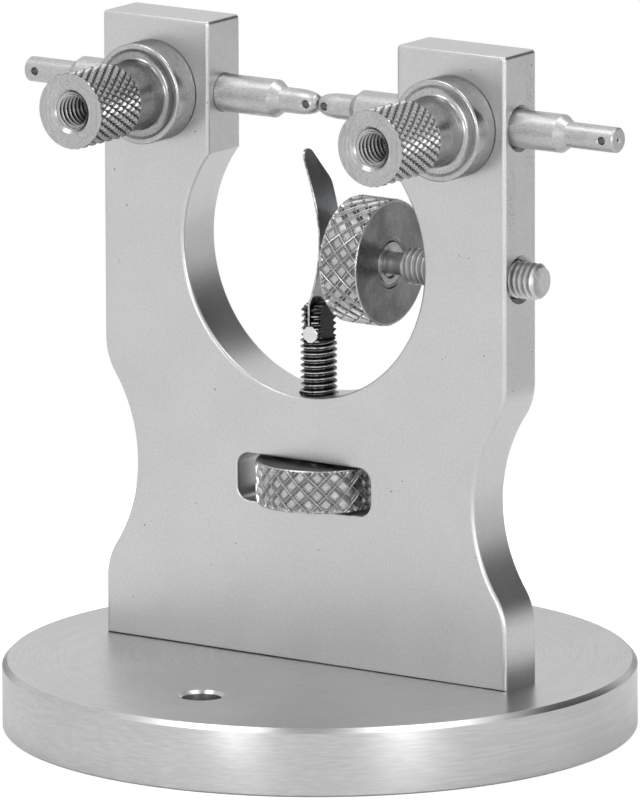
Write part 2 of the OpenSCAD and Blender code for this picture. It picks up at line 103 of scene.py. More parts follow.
def turned(radius, along, angle, centre, direction):
    # centre + radius (cos angle e1 + sin angle e2) + along e3
    e1, e2, e3 = turningAxes[direction]
    radius, along, angle = np.broadcast_arrays(radius, along, angle)
    spoke = np.cos(angle)[..., None] * e1 + np.sin(angle)[..., None] * e2
    return np.asarray(centre, float) + radius[..., None] * spoke + along[..., None] * e3


def turnedProfile(profile, columns, centre, direction):
    # each profile point (distance from the axis, place along it) is carried once round the axis
    profile = np.asarray(profile, float)
    return turned(profile[:, :1], profile[:, 1:], roundAngles(columns), centre, direction)


def gridFaces(rows, columns, first, across=None):
    # quads between neighbouring rows and columns; where across is given, each is cut into two triangles
    i = np.arange(rows - 1)[:, None] * columns
    j = np.arange(columns - 1)[None, :]
    a = first + i + j
    quads = np.stack([a, a + 1, a + columns + 1, a + columns], axis=-1)
    if across is None:
        return quads.reshape(-1, 4).tolist()
    one = np.where(across[..., None], quads[..., [0, 1, 2]], quads[..., [0, 1, 3]])
    two = np.where(across[..., None], quads[..., [0, 2, 3]], quads[..., [1, 2, 3]])
    return np.concatenate([one, two]).reshape(-1, 3).tolist()


def shade(mesh, sharpAngle):
    mesh.shade_smooth()
    mesh.set_sharp_from_angle(angle=math.radians(sharpAngle))


def makeMesh(name, grids, extraPoints=None, extraFaces=(), sharpAngle=crispAngle):
    # Joins grids of points, closes their seams, and turns every face outwards. A grid may come with the way its
    # quads are cut, and with its marks: how far, from 0 to 1, a second colour takes over. That colour is painted
    # shade in grooves, bores and seams, and light for worn bare steel and for a painted highlight on a thread.
    points, faces, marks, first = [], [], [], 0
    for grid in grids:
        grid, across, mark = grid if isinstance(grid, tuple) else (grid, None, 0)
        rows, columns = grid.shape[:2]
        points.append(grid.reshape(-1, 3))
        marks.append(np.broadcast_to(mark, (rows, columns)).reshape(-1))
        faces += gridFaces(rows, columns, first, across)
        first += rows * columns
    if extraPoints is not None:
        points.append(extraPoints)
        marks.append(np.zeros(len(extraPoints)))
        faces += [[first + k for k in face] for face in extraFaces]
    mesh = bpy.data.meshes.new(name)
    mesh.from_pydata(np.concatenate(points) * mm, [], faces)
    markValues = np.concatenate(marks).astype(float)
    mesh.attributes.new("mark", "FLOAT", "POINT").data.foreach_set("value", markValues)
    work = bmesh.new()
    work.from_mesh(mesh)
    bmesh.ops.remove_doubles(work, verts=work.verts, dist=weld * mm)
    bmesh.ops.recalc_face_normals(work, faces=work.faces)
    if work.calc_volume(signed=True) < 0:
        bmesh.ops.reverse_faces(work, faces=work.faces)
    openEdges = sum(not e.is_manifold for e in work.edges)
    work.to_mesh(mesh)
    work.free()
    shade(mesh, sharpAngle)
    print(f"  {name}: {len(mesh.polygons)} faces, {openEdges} open edges")
    return mesh


def newObject(name, data):
    item = bpy.data.objects.new(name, data)
    scene.collection.objects.link(item)
    return item


def newPiece(name, grids, *extra, **shading):
    return newObject(name, makeMesh(name, grids, *extra, **shading))


def reshape(piece, tools, operation="DIFFERENCE"):
    # takes the tools' volume out of the piece, or adds it, and leaves no modifier on the piece
    for k, tool in enumerate(tools):
        change = piece.modifiers.new(f"change{k}", "BOOLEAN")
        change.operation, change.solver, change.object = operation, "EXACT", newObject(f"tool{k}", tool)
    result = bpy.data.meshes.new_from_object(piece.evaluated_get(bpy.context.evaluated_depsgraph_get()))
    used = [change.object for change in piece.modifiers]
    piece.modifiers.clear()
    piece.data = result
    for tool in used:
        bpy.data.objects.remove(tool)
    result.name = piece.name
    shade(result, crispAngle)
    print(f"  {piece.name}: {len(result.polygons)} faces after its cuts")


def finishPiece(piece, body, material, node):
    piece.data.materials.clear()
    piece.data.materials.append(material)
    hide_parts(node)
    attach(piece, body)


def drill(radius, start, stop, centre, direction, mouths=(0, 0), columns=64):
    # a cutter for a round hole, whose two mouths may widen at 45 degrees
    low, high = mouths
    lowMouth = [(radius + low * 2, start - low), (radius, start + low)] if low else [(radius, start)]
    highMouth = [(radius, stop - high), (radius + high * 2, stop + high)] if high else [(radius, stop)]
    profile = [(0, start - low)] + lowMouth + highMouth + [(0, stop + high)]
    return makeMesh("drill", [turnedProfile(profile, columns, centre, direction)])


def prism(outline, start, stop, direction):
    # an outline in the plane of the two radial axes, carried along the third
    e1, e2, e3 = turningAxes[direction]
    flat = np.asarray(outline, float)
    ring = flat[:, :1] * e1 + flat[:, 1:] * e2
    count = len(ring)
    points = np.concatenate([ring + start * e3, ring + stop * e3])
    sides = [[k, (k + 1) % count, count + (k + 1) % count, count + k] for k in range(count)]
    ends = [list(range(count)), list(range(count, 2 * count))]
    return makeMesh("prism", [], points, sides + ends)


def knurlBand(s, radius, length):
    # Two families of lines cross, each leaning by leadAngle from the axis. With p and q the phases count angle/2pi
    # plus and minus along/(length of a diamond), a line's middle lies where p or q is a whole number. The lines are
    # grooves between flat-topped diamonds, or raised lines between sunk ones, which may have a raised pad in the
    # middle. Every line's edge runs along the diagonals of the grid. It returns the radius, the places along the
    # axis, the way each quad is cut, and the depth as a share.
    count, samples = s["diamonds"], s["samples"]
    step = 2 * math.pi * radius / count / math.tan(math.radians(s["leadAngle"]))
    rise = step / samples
    along = np.append(np.arange(0, length - 0.2 * rise, rise), length)[:, None]     # with no sliver at the end
    angle = roundAngles(count * samples)
    phase = count * angle / (2 * math.pi)
    away = [np.abs(p - np.round(p)) for p in (phase + along / step, phase - along / step)]
    line = np.maximum(*[1 - np.clip((a - s["lineHalf"]) / s["lineSlope"], 0, 1) for a in away])
    height = line if s["raisedLines"] else 1 - line
    if s["raisedLines"]:
        pad = np.minimum(*[np.clip((a - s["padFrom"]) / s["lineSlope"], 0, 1) for a in away])
        height = np.maximum(height, s["padHeight"] * pad)
    middle = [a[1:, 1:] + a[:-1, 1:] + a[1:, :-1] + a[:-1, :-1] for a in away]
    return radius - s["knurlDepth"] * (1 - height), along + 0 * angle, middle[1] < middle[0], 1 - height


def threadRadius(radius, pitch, depth, angle, along):
    # ISO form: with p the phase along/pitch - angle/2pi, a crest lies at whole p and a root halfway. With m the
    # distance from the crest in half pitches, the crest is flat up to 1/8 and the root from 3/4. It returns the
    # radius, the depth as a share, and m.
    phase = along / pitch - angle / (2 * math.pi)
    m = np.abs(phase - np.round(phase)) * 2
    groove = np.clip((m - 1 / 8) / (3 / 4 - 1 / 8), 0, 1)
    return radius - depth * groove, groove, m


def threadRows(start, stop, pitch, angle):
    # rows follow the helix at the ends of the crest, and at the ends and middle of the root, and stop flat
    turns = np.arange(math.floor(start / pitch) - 2, math.ceil(stop / pitch) + 2)
    form = np.array([-1 / 16, 1 / 16, 3 / 8, 1 / 2, 5 / 8])
    rows = (turns[:, None] + form[None, :]).reshape(-1, 1)
    return np.clip((rows + angle / (2 * math.pi)) * pitch, start, stop)


print("base")
base = {
    "chamfer": 0.4,         # upper rim, seen as a bright and black line
    "footChamfer": 0.15,
    "cornerRadius": 0.06,   # softness of the edges of both chamfers
    "rimRing": 1.0,         # a ring this far inside the rim keeps the rim's own faces narrow
    "holeRadius": 1.6,
    "holeChamfer": 0.25,
    "holeY": -16.2,
    "screwX": 12.0,
    "screwHole": 1.65,
    "screwHead": 2.9,       # radius of the counterbores underneath
    "screwHeadDepth": 2.9,
    "columns": 288,
}
baseRadius, _, baseTop = nodeBox("base")[1]
baseProfile = softCorners(
    [
        (0, 0), (baseRadius - base["footChamfer"], 0), (baseRadius, base["footChamfer"]),
        (baseRadius, baseTop - base["chamfer"]), (baseRadius - base["chamfer"], baseTop), (0, baseTop),
    ],
    [base["cornerRadius"]] * 4,
)
ringX = baseRadius - base["rimRing"]
baseProfile = np.insert(baseProfile, [1, -1], [(ringX, 0), (ringX, baseTop)], axis=0)
baseDisc = newPiece("base_disc", [turnedProfile(baseProfile, base["columns"], (0, 0, 0), "up")])
screwPlaces = [(-base["screwX"], 0, 0), (base["screwX"], 0, 0)]
reshape(baseDisc, [
    drill(base["holeRadius"], -past, baseTop, (0, base["holeY"], 0), "up", (0, base["holeChamfer"])),
    *(drill(base["screwHead"], -past, base["screwHeadDepth"], place, "up") for place in screwPlaces),
    *(drill(base["screwHole"], 0, baseTop + past, place, "up") for place in screwPlaces),
])

print("frame plate")
plate = {
    "openingRadius": 11.37,
    "openingZ": 37.9,
    "armGap": 17.8,
    "waistHalf": 16.0,
    "waistRadius": 12.2,
    "waistZ": 19.6,
    "blendRadius": 5.1,
    "topCorner": 0.35,
    "slotWidth": 12.6,
    "slotHeight": 3.8,
    "slotCorner": 1.1,
    "arcSteps": {"blend": 14, "waist": 48, "corner": 6, "opening": 90, "slot": 10, "bolt": 72},
    "edge": 0.26,           # rounding of the long edges, which catches the light
    "footEdge": 0.15,       # the foot's edge leaves the thin dark seam on the base
    "slotEdge": 0.14,
    "boreEdge": 0.06,
    "edgeSteps": 4,
    "strip": 0.12,          # a narrow strip beside each rounded edge keeps its shading off the flat face
    "boltBore": 2.45,
    "runnerBore": 1.55,
    "runnerMouth": 0.3,
    "screwBore": 1.55,      # for the side stud, the index screw and the two base screws
    "studMouth": 0.38,
    "studBoreInside": 2.0,  # the cutter for the stud's bore starts this far inside the opening
    "indexBoreBelow": 4.5,  # room below the index screw, so that it can be lowered
    "indexBoreAbove": 1.2,
    "footBoreDepth": 6.5,
}
plateLow, (plateHalf, plateDepth, plateTop), _ = nodeBox("frame")
plateFoot = plateLow[2]
nutLow, nutHigh, nutMiddle = nodeBox("height_nut")
sideLow, sideHigh, sideMiddle = nodeBox("side_wheel")
screwLow, screwHigh, _ = nodeBox("index_screw")
slotZ, sideZ = nutMiddle[2], sideMiddle[2]
runnerZ, clampX = nodeBox("left_runner")[2][2], nodeBox("right_clamp_nut")[2][0]


def plateOutline(s):
    # the right half, from the foot round the waist, up the arm, and down the round opening, then its mirror image
    steps, blend, waist, corner = s["arcSteps"], s["blendRadius"], s["waistRadius"], s["topCorner"]
    blendX, waistX, gap = plateHalf - blend, s["waistHalf"] + waist, s["armGap"] / 2
    rise = math.sqrt((waist + blend) ** 2 - (waistX - blendX) ** 2)
    lean = math.degrees(math.atan2(rise, waistX - blendX))
    meet = math.degrees(math.acos(gap / s["openingRadius"]))
    half = np.concatenate([
        [(plateHalf, plateFoot)],
        arc(blendX, s["waistZ"] - rise, blend, 0, lean, steps["blend"]),
        arc(waistX, s["waistZ"], waist, 180 + lean, 180 - lean, steps["waist"])[1:-1],
        arc(blendX, s["waistZ"] + rise, blend, -lean, 0, steps["blend"]),
        arc(plateHalf - corner, plateTop - corner, corner, 0, 90, steps["corner"]),
        arc(gap + corner, plateTop - corner, corner, 90, 180, steps["corner"]),
        arc(0, s["openingZ"], s["openingRadius"], meet, -90, steps["opening"]),
    ])
    return np.concatenate([half, (half * (-1, 1))[-2::-1]])


def slotLoop(s):
    corner, steps = s["slotCorner"], s["arcSteps"]["slot"]
    x, z = s["slotWidth"] / 2 - corner, s["slotHeight"] / 2 - corner
    return np.concatenate([
        arc(x, slotZ + z, corner, 90, 0, steps), arc(x, slotZ - z, corner, 0, -90, steps),
        arc(-x, slotZ - z, corner, -90, -180, steps), arc(-x, slotZ + z, corner, 180, 90, steps),
    ])


def inset(loop, amount, footAmount):
    # every side of the loop moves to its left, and neighbouring sides are met again where they cross
    ahead = np.roll(loop, -1, axis=0) - loop
    length = np.linalg.norm(ahead, axis=1, keepdims=True)
    normal = np.stack([-ahead[:, 1], ahead[:, 0]], axis=1) / length
    onFoot = (np.abs(normal[:, 1] - 1) < 1e-6) & (loop[:, 1] < plateFoot + 1e-6)
    move = np.where(onFoot, footAmount, amount)
    lastNormal, lastMove = np.roll(normal, 1, axis=0), np.roll(move, 1)
    cross = lastNormal[:, 0] * normal[:, 1] - lastNormal[:, 1] * normal[:, 0]
    flat = np.abs(cross) < 1e-4
    cross = np.where(flat, 1, cross)
    x = (lastMove * normal[:, 1] - move * lastNormal[:, 1]) / cross
    y = (move * lastNormal[:, 0] - lastMove * normal[:, 0]) / cross
    straight = normal * move[:, None]
    return loop + np.where(flat[:, None], straight, np.stack([x, y], axis=1))


def plateWall(s, loop, edge, footEdge):
    # A wall through the plate, along the loop. Its section is a quarter circle at each face, and the grid's first
    # and last rows lie on the two faces.
    t = np.radians(np.linspace(0, 90, s["edgeSteps"] + 1))
    strip = s["strip"]
    depth = np.concatenate([[1 + strip / edge], 1 - np.sin(t)])      # inset, in edge radii
    height = np.concatenate([[0], 1 - np.cos(t)])                    # distance from the face, in edge radii
    rows = [(d, -plateDepth + h * edge) for d, h in zip(depth, height)]
    rows += [(0, -plateDepth + edge + strip), (0, plateDepth - edge - strip)]
    rows += [(d, plateDepth - h * edge) for d, h in zip(depth[::-1], height[::-1])]
    grid = []
    for share, y in rows:
        ring = inset(loop, share * edge, share * footEdge)
        grid.append(np.stack([ring[:, 0], np.full(len(ring), y), ring[:, 1]], axis=1))
    grid = np.array(grid)
    return np.concatenate([grid, grid[:, :1]], axis=1)


walls = [
    plateWall(plate, plateOutline(plate), plate["edge"], plate["footEdge"]),
    plateWall(plate, slotLoop(plate), plate["slotEdge"], plate["slotEdge"]),
]
for x in (-clampX, clampX):
    boltLoop = arc(x, runnerZ, plate["boltBore"], 360, 0, plate["arcSteps"]["bolt"])[:-1]
    walls.append(plateWall(plate, boltLoop, plate["boreEdge"], plate["boreEdge"]))
facePoints, faceTriangles = [], []
for row in (0, -1):
    loops = [wall[row, :-1] for wall in walls]
    flat = [[Vector((x, z, 0)) for x, _, z in loop] for loop in loops]
    first = sum(len(points) for points in facePoints)
    faceTriangles += [[first + k for k in triangle] for triangle in tessellate_polygon(flat)]
    facePoints.append(np.concatenate(loops))
framePlate = newPiece("frame_plate", walls, np.concatenate(facePoints), faceTriangles)
runnerBoreFrom = plate["armGap"] / 2 - past
studBoreFrom = plate["openingRadius"] - plate["studBoreInside"]
indexBoreTop = plate["openingZ"] - plate["openingRadius"] + plate["indexBoreAbove"]
runnerMouths, studMouths = (0, plate["runnerMouth"]), (0, plate["studMouth"])
reshape(framePlate, [
    drill(plate["runnerBore"], runnerBoreFrom, plateHalf, (0, 0, runnerZ), "right", runnerMouths),
    drill(plate["runnerBore"], runnerBoreFrom, plateHalf, (0, 0, runnerZ), "left", runnerMouths),
    drill(plate["screwBore"], studBoreFrom, plateHalf, (0, 0, sideZ), "right", studMouths),
    drill(plate["screwBore"], screwLow[2] - plate["indexBoreBelow"], indexBoreTop, (0, 0, 0), "up"),
    *(drill(plate["screwBore"], plateFoot - past, plateFoot + plate["footBoreDepth"], place, "up")
      for place in screwPlaces),
])

print("runners")
runner = {
    "tipRadius": 0.45,
    "endRadius": 1.0,
    "noseRound": 1.9,
    "noseSteps": 12,
    "afterNose": 0.2,       # where the straight stretch behind the nose starts
    "noseLength": 4.0,
    "shoulder": 0.7,
    "bodyLength": 19.3,
    "endEdge": 0.12,
    "faceRing": 0.4,
    "corners": (0.1, 0.12, 0.12, 0.1, 0.06, 0.06),      # roundings, from the nose to the outer end
    "pivotRadius": 0.15,
    "seatChamfer": 0.08,
    "outerChamfer": (0.1, 0.12),                        # width and depth
    "holeRadius": 0.33,
    "holeInner": 0.75,
    "holeOuter": 1.0,
    "noseAtHole": 0.88,     # the nose's radius where the inner hole comes out
    "holeEdge": 0.07,
    "holeColumns": 40,
    "columns": 96,
}


def runnerProfile(s, length, bodyRadius):
    # the nose is a quarter ellipse from the tip's rim to the turned-down end
    tip, end, seat, shoulder = s["tipRadius"], s["endRadius"], s["pivotRadius"], s["shoulder"]
    t = np.linspace(0, 1, s["noseSteps"] + 1)[:, None]
    nose = np.concatenate([tip + (end - tip) * np.sqrt(t * (2 - t)), s["noseRound"] * t], axis=1)
    bodyStart, bodyEnd = s["noseLength"], s["noseLength"] + s["bodyLength"]
    rest = softCorners(
        [
            (end, s["noseRound"] + s["afterNose"]), (end, bodyStart - shoulder), (bodyRadius, bodyStart),
            (bodyRadius, bodyEnd - shoulder), (end, bodyEnd), (end, length - s["endEdge"]),
            (end - s["endEdge"], length), (s["faceRing"], length),
        ],
        s["corners"],
    )
    innerSeat = [
        (0, s["holeInner"]), (seat, s["holeInner"]), (seat, s["seatChamfer"]), (seat + s["seatChamfer"], 0),
    ]
    width, depth = s["outerChamfer"]
    holeZ = length - s["holeOuter"]
    outerSeat = [(seat + width, length), (seat, length - depth), (seat, holeZ), (0, holeZ)]
    return np.concatenate([innerSeat, nose, rest, outerSeat])


runnerPieces = {}
for side in ("left", "right"):
    low, high, _ = nodeBox(f"{side}_runner")
    length = high[0] - low[0]
    tipX, way = (high[0], -1) if side == "left" else (low[0], 1)
    profile = runnerProfile(runner, length, (high[2] - low[2]) / 2)
    rod = newPiece(f"{side}_runner_rod", [
        turnedProfile(profile, runner["columns"], (tipX, 0, runnerZ), side)])
    inner = (runner["holeInner"], runner["noseAtHole"])
    outer = (length - runner["holeOuter"], runner["endRadius"])
    reshape(rod, [
        drill(runner["holeRadius"], -surface, surface, (tipX + way * place, 0, runnerZ), "front",
              (runner["holeEdge"], runner["holeEdge"]), runner["holeColumns"])
        for place, surface in (inner, outer)])
    runnerPieces[side] = rod

print("clamp nuts")
clampNut = {
    "flangeThick": 2.4,
    "flangeRim": 0.2,
    "seam": 0.1,            # rounding of the rear edge, which shows as a dark line on the plate, and the height of the painted shade line along it
    "dish": 0.12,
    "dishCorners": (0.1, 0.15),
    "edge": 0.05,
    "neckRadius": 2.7,
    "fillet": 0.42,
    "cornerSteps": 5,
    "seatRadius": 2.45,     # recess behind, for the draw bolt
    "seatDepth": 1.0,
    "knobLength": 5.6,
    "barrelRadius": 3.0,
    "rearChamfer": (2.78, 0.9),     # radius at the end of the barrel, and its growth per mm
    "faceChamfer": (2.95, 0.5),
    "faceRing": 2.6,
    "knurlDepth": 0.2,
    # painted shade in the knurl's grooves, deeper parts darker
    "knurlShade": 0.62,
    "diamonds": 30,
    "leadAngle": 30,        # degrees from the axis, so the diamonds are long
    "samples": 14,
    "raisedLines": False,
    "lineHalf": 0.02,       # as shares of the distance between diamonds
    "lineSlope": 0.3,
    "burredEnd": 0.32,      # near the front face the burr of the turning tool fills the grooves
    "burrHeight": 0.12,
    "sinkRadius": 1.78,
    "sinkDepth": 0.26,
    "sinkCorners": (0.06, 0.02),
    "boreRadius": 1.55,
    "threadRadius": 1.5,
    "threadDepth": 0.28,
    "pitch": 0.5,
    "threadFrom": 0.3,      # behind the face
    "threadLength": 4.3,
    "threadShade": 2.2,       # painted shade fills the bottom of the thread, and all of it further in
    "deepOil": 0.3,
    "deepFrom": 0.6,
    # painted shade in the dish and on the neck
    "darkening": 0.36,
    "sharpAngle": 28,
}


def clampNutGrids(s, centre, length, flangeRadius):
    # the seat and flange, the neck, the knurled barrel, its face, and back down the threaded bore
    angle = roundAngles(s["diamonds"] * s["samples"])
    around = partial(turned, angle=angle, centre=centre, direction="front")
    rim, thick, seatZ, seatRadius = s["flangeRim"], s["flangeThick"], s["seatDepth"], s["seatRadius"]
    dishZ, land, neckEnd = thick - s["dish"], flangeRadius - 2 * rim, length - s["knobLength"]
    back = softCorners(
        [
            (s["threadRadius"], seatZ), (seatRadius, seatZ), (seatRadius, 0), (flangeRadius, 0),
            (flangeRadius, thick), (land, thick), (land - 2 * s["dish"], dishZ), (s["neckRadius"], dishZ),
            (s["neckRadius"], neckEnd), (s["barrelRadius"], neckEnd),
        ],
        [0, s["edge"], s["seam"], rim, *s["dishCorners"], s["fillet"], s["edge"]],
        s["cornerSteps"],
    )[:-1]
    radius, height = back[:, :1], back[:, 1:]
    # painted shade: the dish and the neck are painted darker, and the corner against the plate is painted as a dark
    # line
    darkening = s["darkening"] * ((radius < land) & (height > dishZ - 0.01))
    darkening = np.maximum(darkening, 1.0 * ((height < s["seam"]) & (radius > land)))
    band, along, across, depthShare = knurlBand(s, s["barrelRadius"], s["knobLength"])
    fromFace = s["knobLength"] - along
    filled = np.clip(fromFace / s["burredEnd"], s["burrHeight"], 1)
    # the barrel's two ends are chamfered, so the knurl runs out there
    (rearRadius, rearSlope), (faceRadius, faceSlope) = s["rearChamfer"], s["faceChamfer"]
    chamfer = np.minimum(rearRadius + along * rearSlope, faceRadius + fromFace * faceSlope)
    band = np.minimum(s["barrelRadius"] - (s["barrelRadius"] - band) * filled, chamfer)
    link = np.stack([0 * band[0] + back[-1, 0], band[0]])
    threadTop, threadEnd = length - s["threadFrom"], length - s["threadLength"]
    face = softCorners(
        [
            (s["faceRing"], length), (s["sinkRadius"], length), (s["threadRadius"], length - s["sinkDepth"]),
            (s["threadRadius"], threadTop),
        ],
        s["sinkCorners"],
    )
    turns = threadRows(threadEnd, threadTop, s["pitch"], angle)
    bore, crest, _ = threadRadius(s["threadRadius"], s["pitch"], s["threadDepth"], angle, turns)
    # painted shade: darker at the thread's root and deeper in the bore
    boreShade = np.clip(s["threadShade"] * (1 - crest) + s["deepOil"] * (length - turns - s["deepFrom"]), 0, 1)
    return [
        (around(radius, height), None, darkening),
        # painted shade in the knurl's grooves
        (around(band, along + neckEnd), across, s["knurlShade"] * depthShare * filled),
        around(link, np.array([[back[-1, 1]], [neckEnd]])),
        around(np.stack([band[-1], 0 * band[-1] + s["faceRing"]]), length),
        around(face[:, :1], face[:, 1:]),
        (around(bore, turns), None, boreShade),
        around(np.stack([bore[-1], 0 * bore[-1] + s["threadRadius"]]), threadTop),
        around(np.stack([0 * bore[0] + s["boreRadius"], bore[0]]), threadEnd),
        around(s["boreRadius"], np.array([[seatZ], [threadEnd]])),
        around(np.array([[s["threadRadius"]], [s["boreRadius"]]]), seatZ),
    ]


clampPieces = {}
lessShade = {"darkening": 0.05, "knurlShade": 0.4}       # the right nut has less painted shade in its dish and its knurl
for side, shadeChanges in (("left", {}), ("right", lessShade)):
    low, high, middle = nodeBox(f"{side}_clamp_nut")
    grids = clampNutGrids(
        clampNut | shadeChanges, (middle[0], high[1], runnerZ), high[1] - low[1], (high[2] - low[2]) / 2)
    clampPieces[side] = newPiece(f"{side}_clamp_knob", grids, sharpAngle=clampNut["sharpAngle"])

print("knurled wheels")
wheel = {
    "diamonds": 22,
    "leadAngle": 45,
    "samples": 28,
    "knurlDepth": 0.27,
    "raisedLines": True,
    "lineHalf": 0.03,
    "lineSlope": 0.09,
    "padFrom": 0.16,
    "padHeight": 0.4,       # as a share of the knurl's depth
    "edge": 0.12,           # chamfer that cuts the knurl off at both faces
    "burredEnd": 0.3,       # there a burr fills the knurl up to a share of its depth
    "burrHeight": 0.3,
    "darkeningFrom": 0.27,
    # painted shade in the knurl's grooves
    "grooveShade": 0.12,
    "faceDarkening": 0.6,        # both faces are drawn a darker grey
    "flatRadius": 4.2,
    "ringRadius": 1.7,      # inside it, the staked ring is drawn less dark
    "ringDarkening": 0.2,
    # the face round the stud, inwards: radius, height above the flat, and rounding
    "stakedRing": [
        (2.05, 0, 0.05), (1.95, -0.07, 0.05), (1.75, -0.07, 0.05), (1.62, 0.02, 0.08), (1.25, 0, 0.05),
        (1.05, -0.1, 0.03), (0.91, -0.1, 0), (0.91, -1.5, 0),
    ],
    "socketRadius": 0.85,   # for the pusher pin
    "socketDepth": 1.5,
    "socketEdge": 0.08,
    "boreEdge": 0.15,       # of the height nut
}


def wheelGrids(s, radius, thickness, centre, direction, lowFace, highFace):
    # lowFace and highFace are profiles from the flat face inwards, in (distance from the axis, place along it)
    angle = roundAngles(s["diamonds"] * s["samples"])
    around = partial(turned, angle=angle, centre=centre, direction=direction)
    band, along, across, depthShare = knurlBand(s, radius, thickness)
    ends = np.minimum(along, thickness - along)
    filled = np.clip(ends / s["burredEnd"], s["burrHeight"], 1)
    band = np.minimum(radius - (radius - band) * filled, radius - s["edge"] + ends)
    # painted shade in the knurl's grooves, deeper parts darker
    grids = [(around(band, along), across, s["grooveShade"] * depthShare * filled)]
    for row, profile, place in ((0, lowFace, 0), (-1, highFace, thickness)):
        # from the knurl's edge, which is left undarkened, to the flat face
        ring = np.stack([band[row], 0 * band[row] + radius - s["darkeningFrom"], 0 * band[row] + profile[0, 0]])
        grids.append((around(ring, place), None, s["faceDarkening"] * np.array([[0], [1], [1]])))
        darkening = np.where(profile[:, :1] < s["ringRadius"], s["ringDarkening"], s["faceDarkening"])
        grids.append((around(profile[:, :1], profile[:, 1:]), None, darkening))
    return grids


wheelRadius, wheelThick = (sideHigh[2] - sideLow[2]) / 2, sideHigh[0] - sideLow[0]
flatRadius, socketRadius, socketDepth = wheel["flatRadius"], wheel["socketRadius"], wheel["socketDepth"]
pusherFace = softCorners(
    [(flatRadius, 0), (socketRadius, 0), (socketRadius, socketDepth), (0, socketDepth)],
    [wheel["socketEdge"], 0],
)
ring = [(radius, wheelThick + height) for radius, height, _ in wheel["stakedRing"]]
studFace = softCorners(
    [(flatRadius, wheelThick), *ring, (0, ring[-1][1])],
    [rounding for _, _, rounding in wheel["stakedRing"]],
)
sideWheel = newPiece("side_wheel_disc", wheelGrids(
    wheel, wheelRadius, wheelThick, (sideLow[0], 0, sideZ), "right", pusherFace, studFace))
nutRadius, nutThick, nutBore = (nutHigh[0] - nutLow[0]) / 2, nutHigh[2] - nutLow[2], plate["screwBore"]
nutFaces = [
    softCorners([(flatRadius, z), (nutBore, z), (nutBore, nutThick / 2)], [wheel["boreEdge"]])
    for z in (0, nutThick)]
heightNut = newPiece("height_nut_wheel", wheelGrids(
    wheel, nutRadius, nutThick, (0, 0, nutLow[2]), "up", *nutFaces))

print("screws")
thread = {"radius": 1.45, "pitch": 0.5, "depth": 0.29, "columns": 64}


def threadedRod(s, start, stop, centre, direction, lowChamfer, highChamfer, wearAndHighlight=False):
    # A thread between two flat ends, each with a chamfer. Its mark is painted shade in its groove or, on the worn
    # screw, bare metal worn through on its crest, which also stands as a painted highlight, and a painted highlight
    # in a thin line along the bottom of its root.
    angle = roundAngles(s["columns"])
    around = partial(turned, angle=angle, centre=centre, direction=direction)
    along = threadRows(start, stop, s["pitch"], angle)
    radius, groove, m = threadRadius(s["radius"], s["pitch"], s["depth"], angle, along)
    mark = np.maximum(1 - groove, np.clip(4 * m - 3, 0, 1)) if wearAndHighlight else groove
    chamfer = s["radius"] + np.minimum(along - start - lowChamfer, stop - along - highChamfer)
    radius = np.minimum(radius, chamfer)
    ends = [around(np.stack([radius[k], 0 * radius[k]]), along[k]) for k in (0, -1)]
    return [(around(radius, along), None, mark)] + ends


tongue = {
    "thickness": 1.7,
    "domeRadius": 2.05,
    "domeFoot": 20,         # in degrees, where the dome's arc ends
    "domeSteps": 20,
    "flatsBelowPin": 0.45,
    "sawWidth": 0.5,
    "sawBelowPin": 0.35,
    "pinRadius": 0.72,
    "pinColumns": 48,
    "footChamfer": 0.35,
    "spare": 0.3,           # length that the dome's cutter takes off again
    "cutHalf": 4.0,         # how far the cutters reach sideways
}
pinLow, pinHigh, pinMiddle = nodeBox("leaf_pin")
pinZ, domeTop = pinMiddle[2], screwHigh[2]
domeRadius, cutHalf, cutTop = tongue["domeRadius"], tongue["cutHalf"], domeTop + past
indexScrew = newPiece("index_screw_post", threadedRod(
    thread, screwLow[2], domeTop + tongue["spare"], (0, 0, 0), "up", tongue["footChamfer"], 0, wearAndHighlight=True))
domeArc = arc(0, domeTop - domeRadius, domeRadius, 90, tongue["domeFoot"], tongue["domeSteps"])
domeCut = np.concatenate([domeArc, [(cutHalf, domeArc[-1, 1]), (cutHalf, cutTop), (0, cutTop)]])


def tongueCut(floorZ, start, stop):
    # a block over the screw's end, open from floorZ upwards and from start to stop sideways
    outline = [(-cutHalf, floorZ), (cutHalf, floorZ), (cutHalf, cutTop), (-cutHalf, cutTop)]
    return prism(outline, start, stop, "right")


flatsZ, sawZ = pinZ - tongue["flatsBelowPin"], pinZ - tongue["sawBelowPin"]
halfTongue, halfSaw = tongue["thickness"] / 2, tongue["sawWidth"] / 2
reshape(indexScrew, [
    makeMesh("dome_cutter", [turnedProfile(domeCut, thread["columns"], (0, 0, 0), "up")]),
    tongueCut(flatsZ, halfTongue, cutHalf),
    tongueCut(flatsZ, -cutHalf, -halfTongue),
    tongueCut(sawZ, -halfSaw, halfSaw),
    drill(tongue["pinRadius"], -cutHalf, cutHalf, (0, 0, pinZ), "front", columns=tongue["pinColumns"]),
])

stud = {
    "chamfer": 0.3,
    "neckRadius": 0.9,
    "neckLength": 1.5,      # outside the wheel
    "flareRadius": 1.1,
    "flareFrom": 0.05,      # the neck widens from just outside the thread to just inside it
    "flareTo": 0.2,
    "corners": (0.05, 0.1, 0),
}
studLow, studHigh, _ = nodeBox("side_stud")
neckEnd = sideHigh[0] + stud["neckLength"]
flareEnd = neckEnd + stud["flareTo"]
sideStud = newPiece("side_stud_screw", threadedRod(
    thread, neckEnd, studHigh[0], (0, 0, sideZ), "right", stud["chamfer"], stud["chamfer"]))
neck = softCorners(
    [
        (0, studLow[0]), (stud["neckRadius"], studLow[0]), (stud["neckRadius"], neckEnd - stud["flareFrom"]),
        (stud["flareRadius"], flareEnd), (0, flareEnd),
    ],
    stud["corners"],
)
neckMesh = makeMesh("neck", [turnedProfile(neck, thread["columns"], (0, 0, sideZ), "right")])
reshape(sideStud, [neckMesh], "UNION")

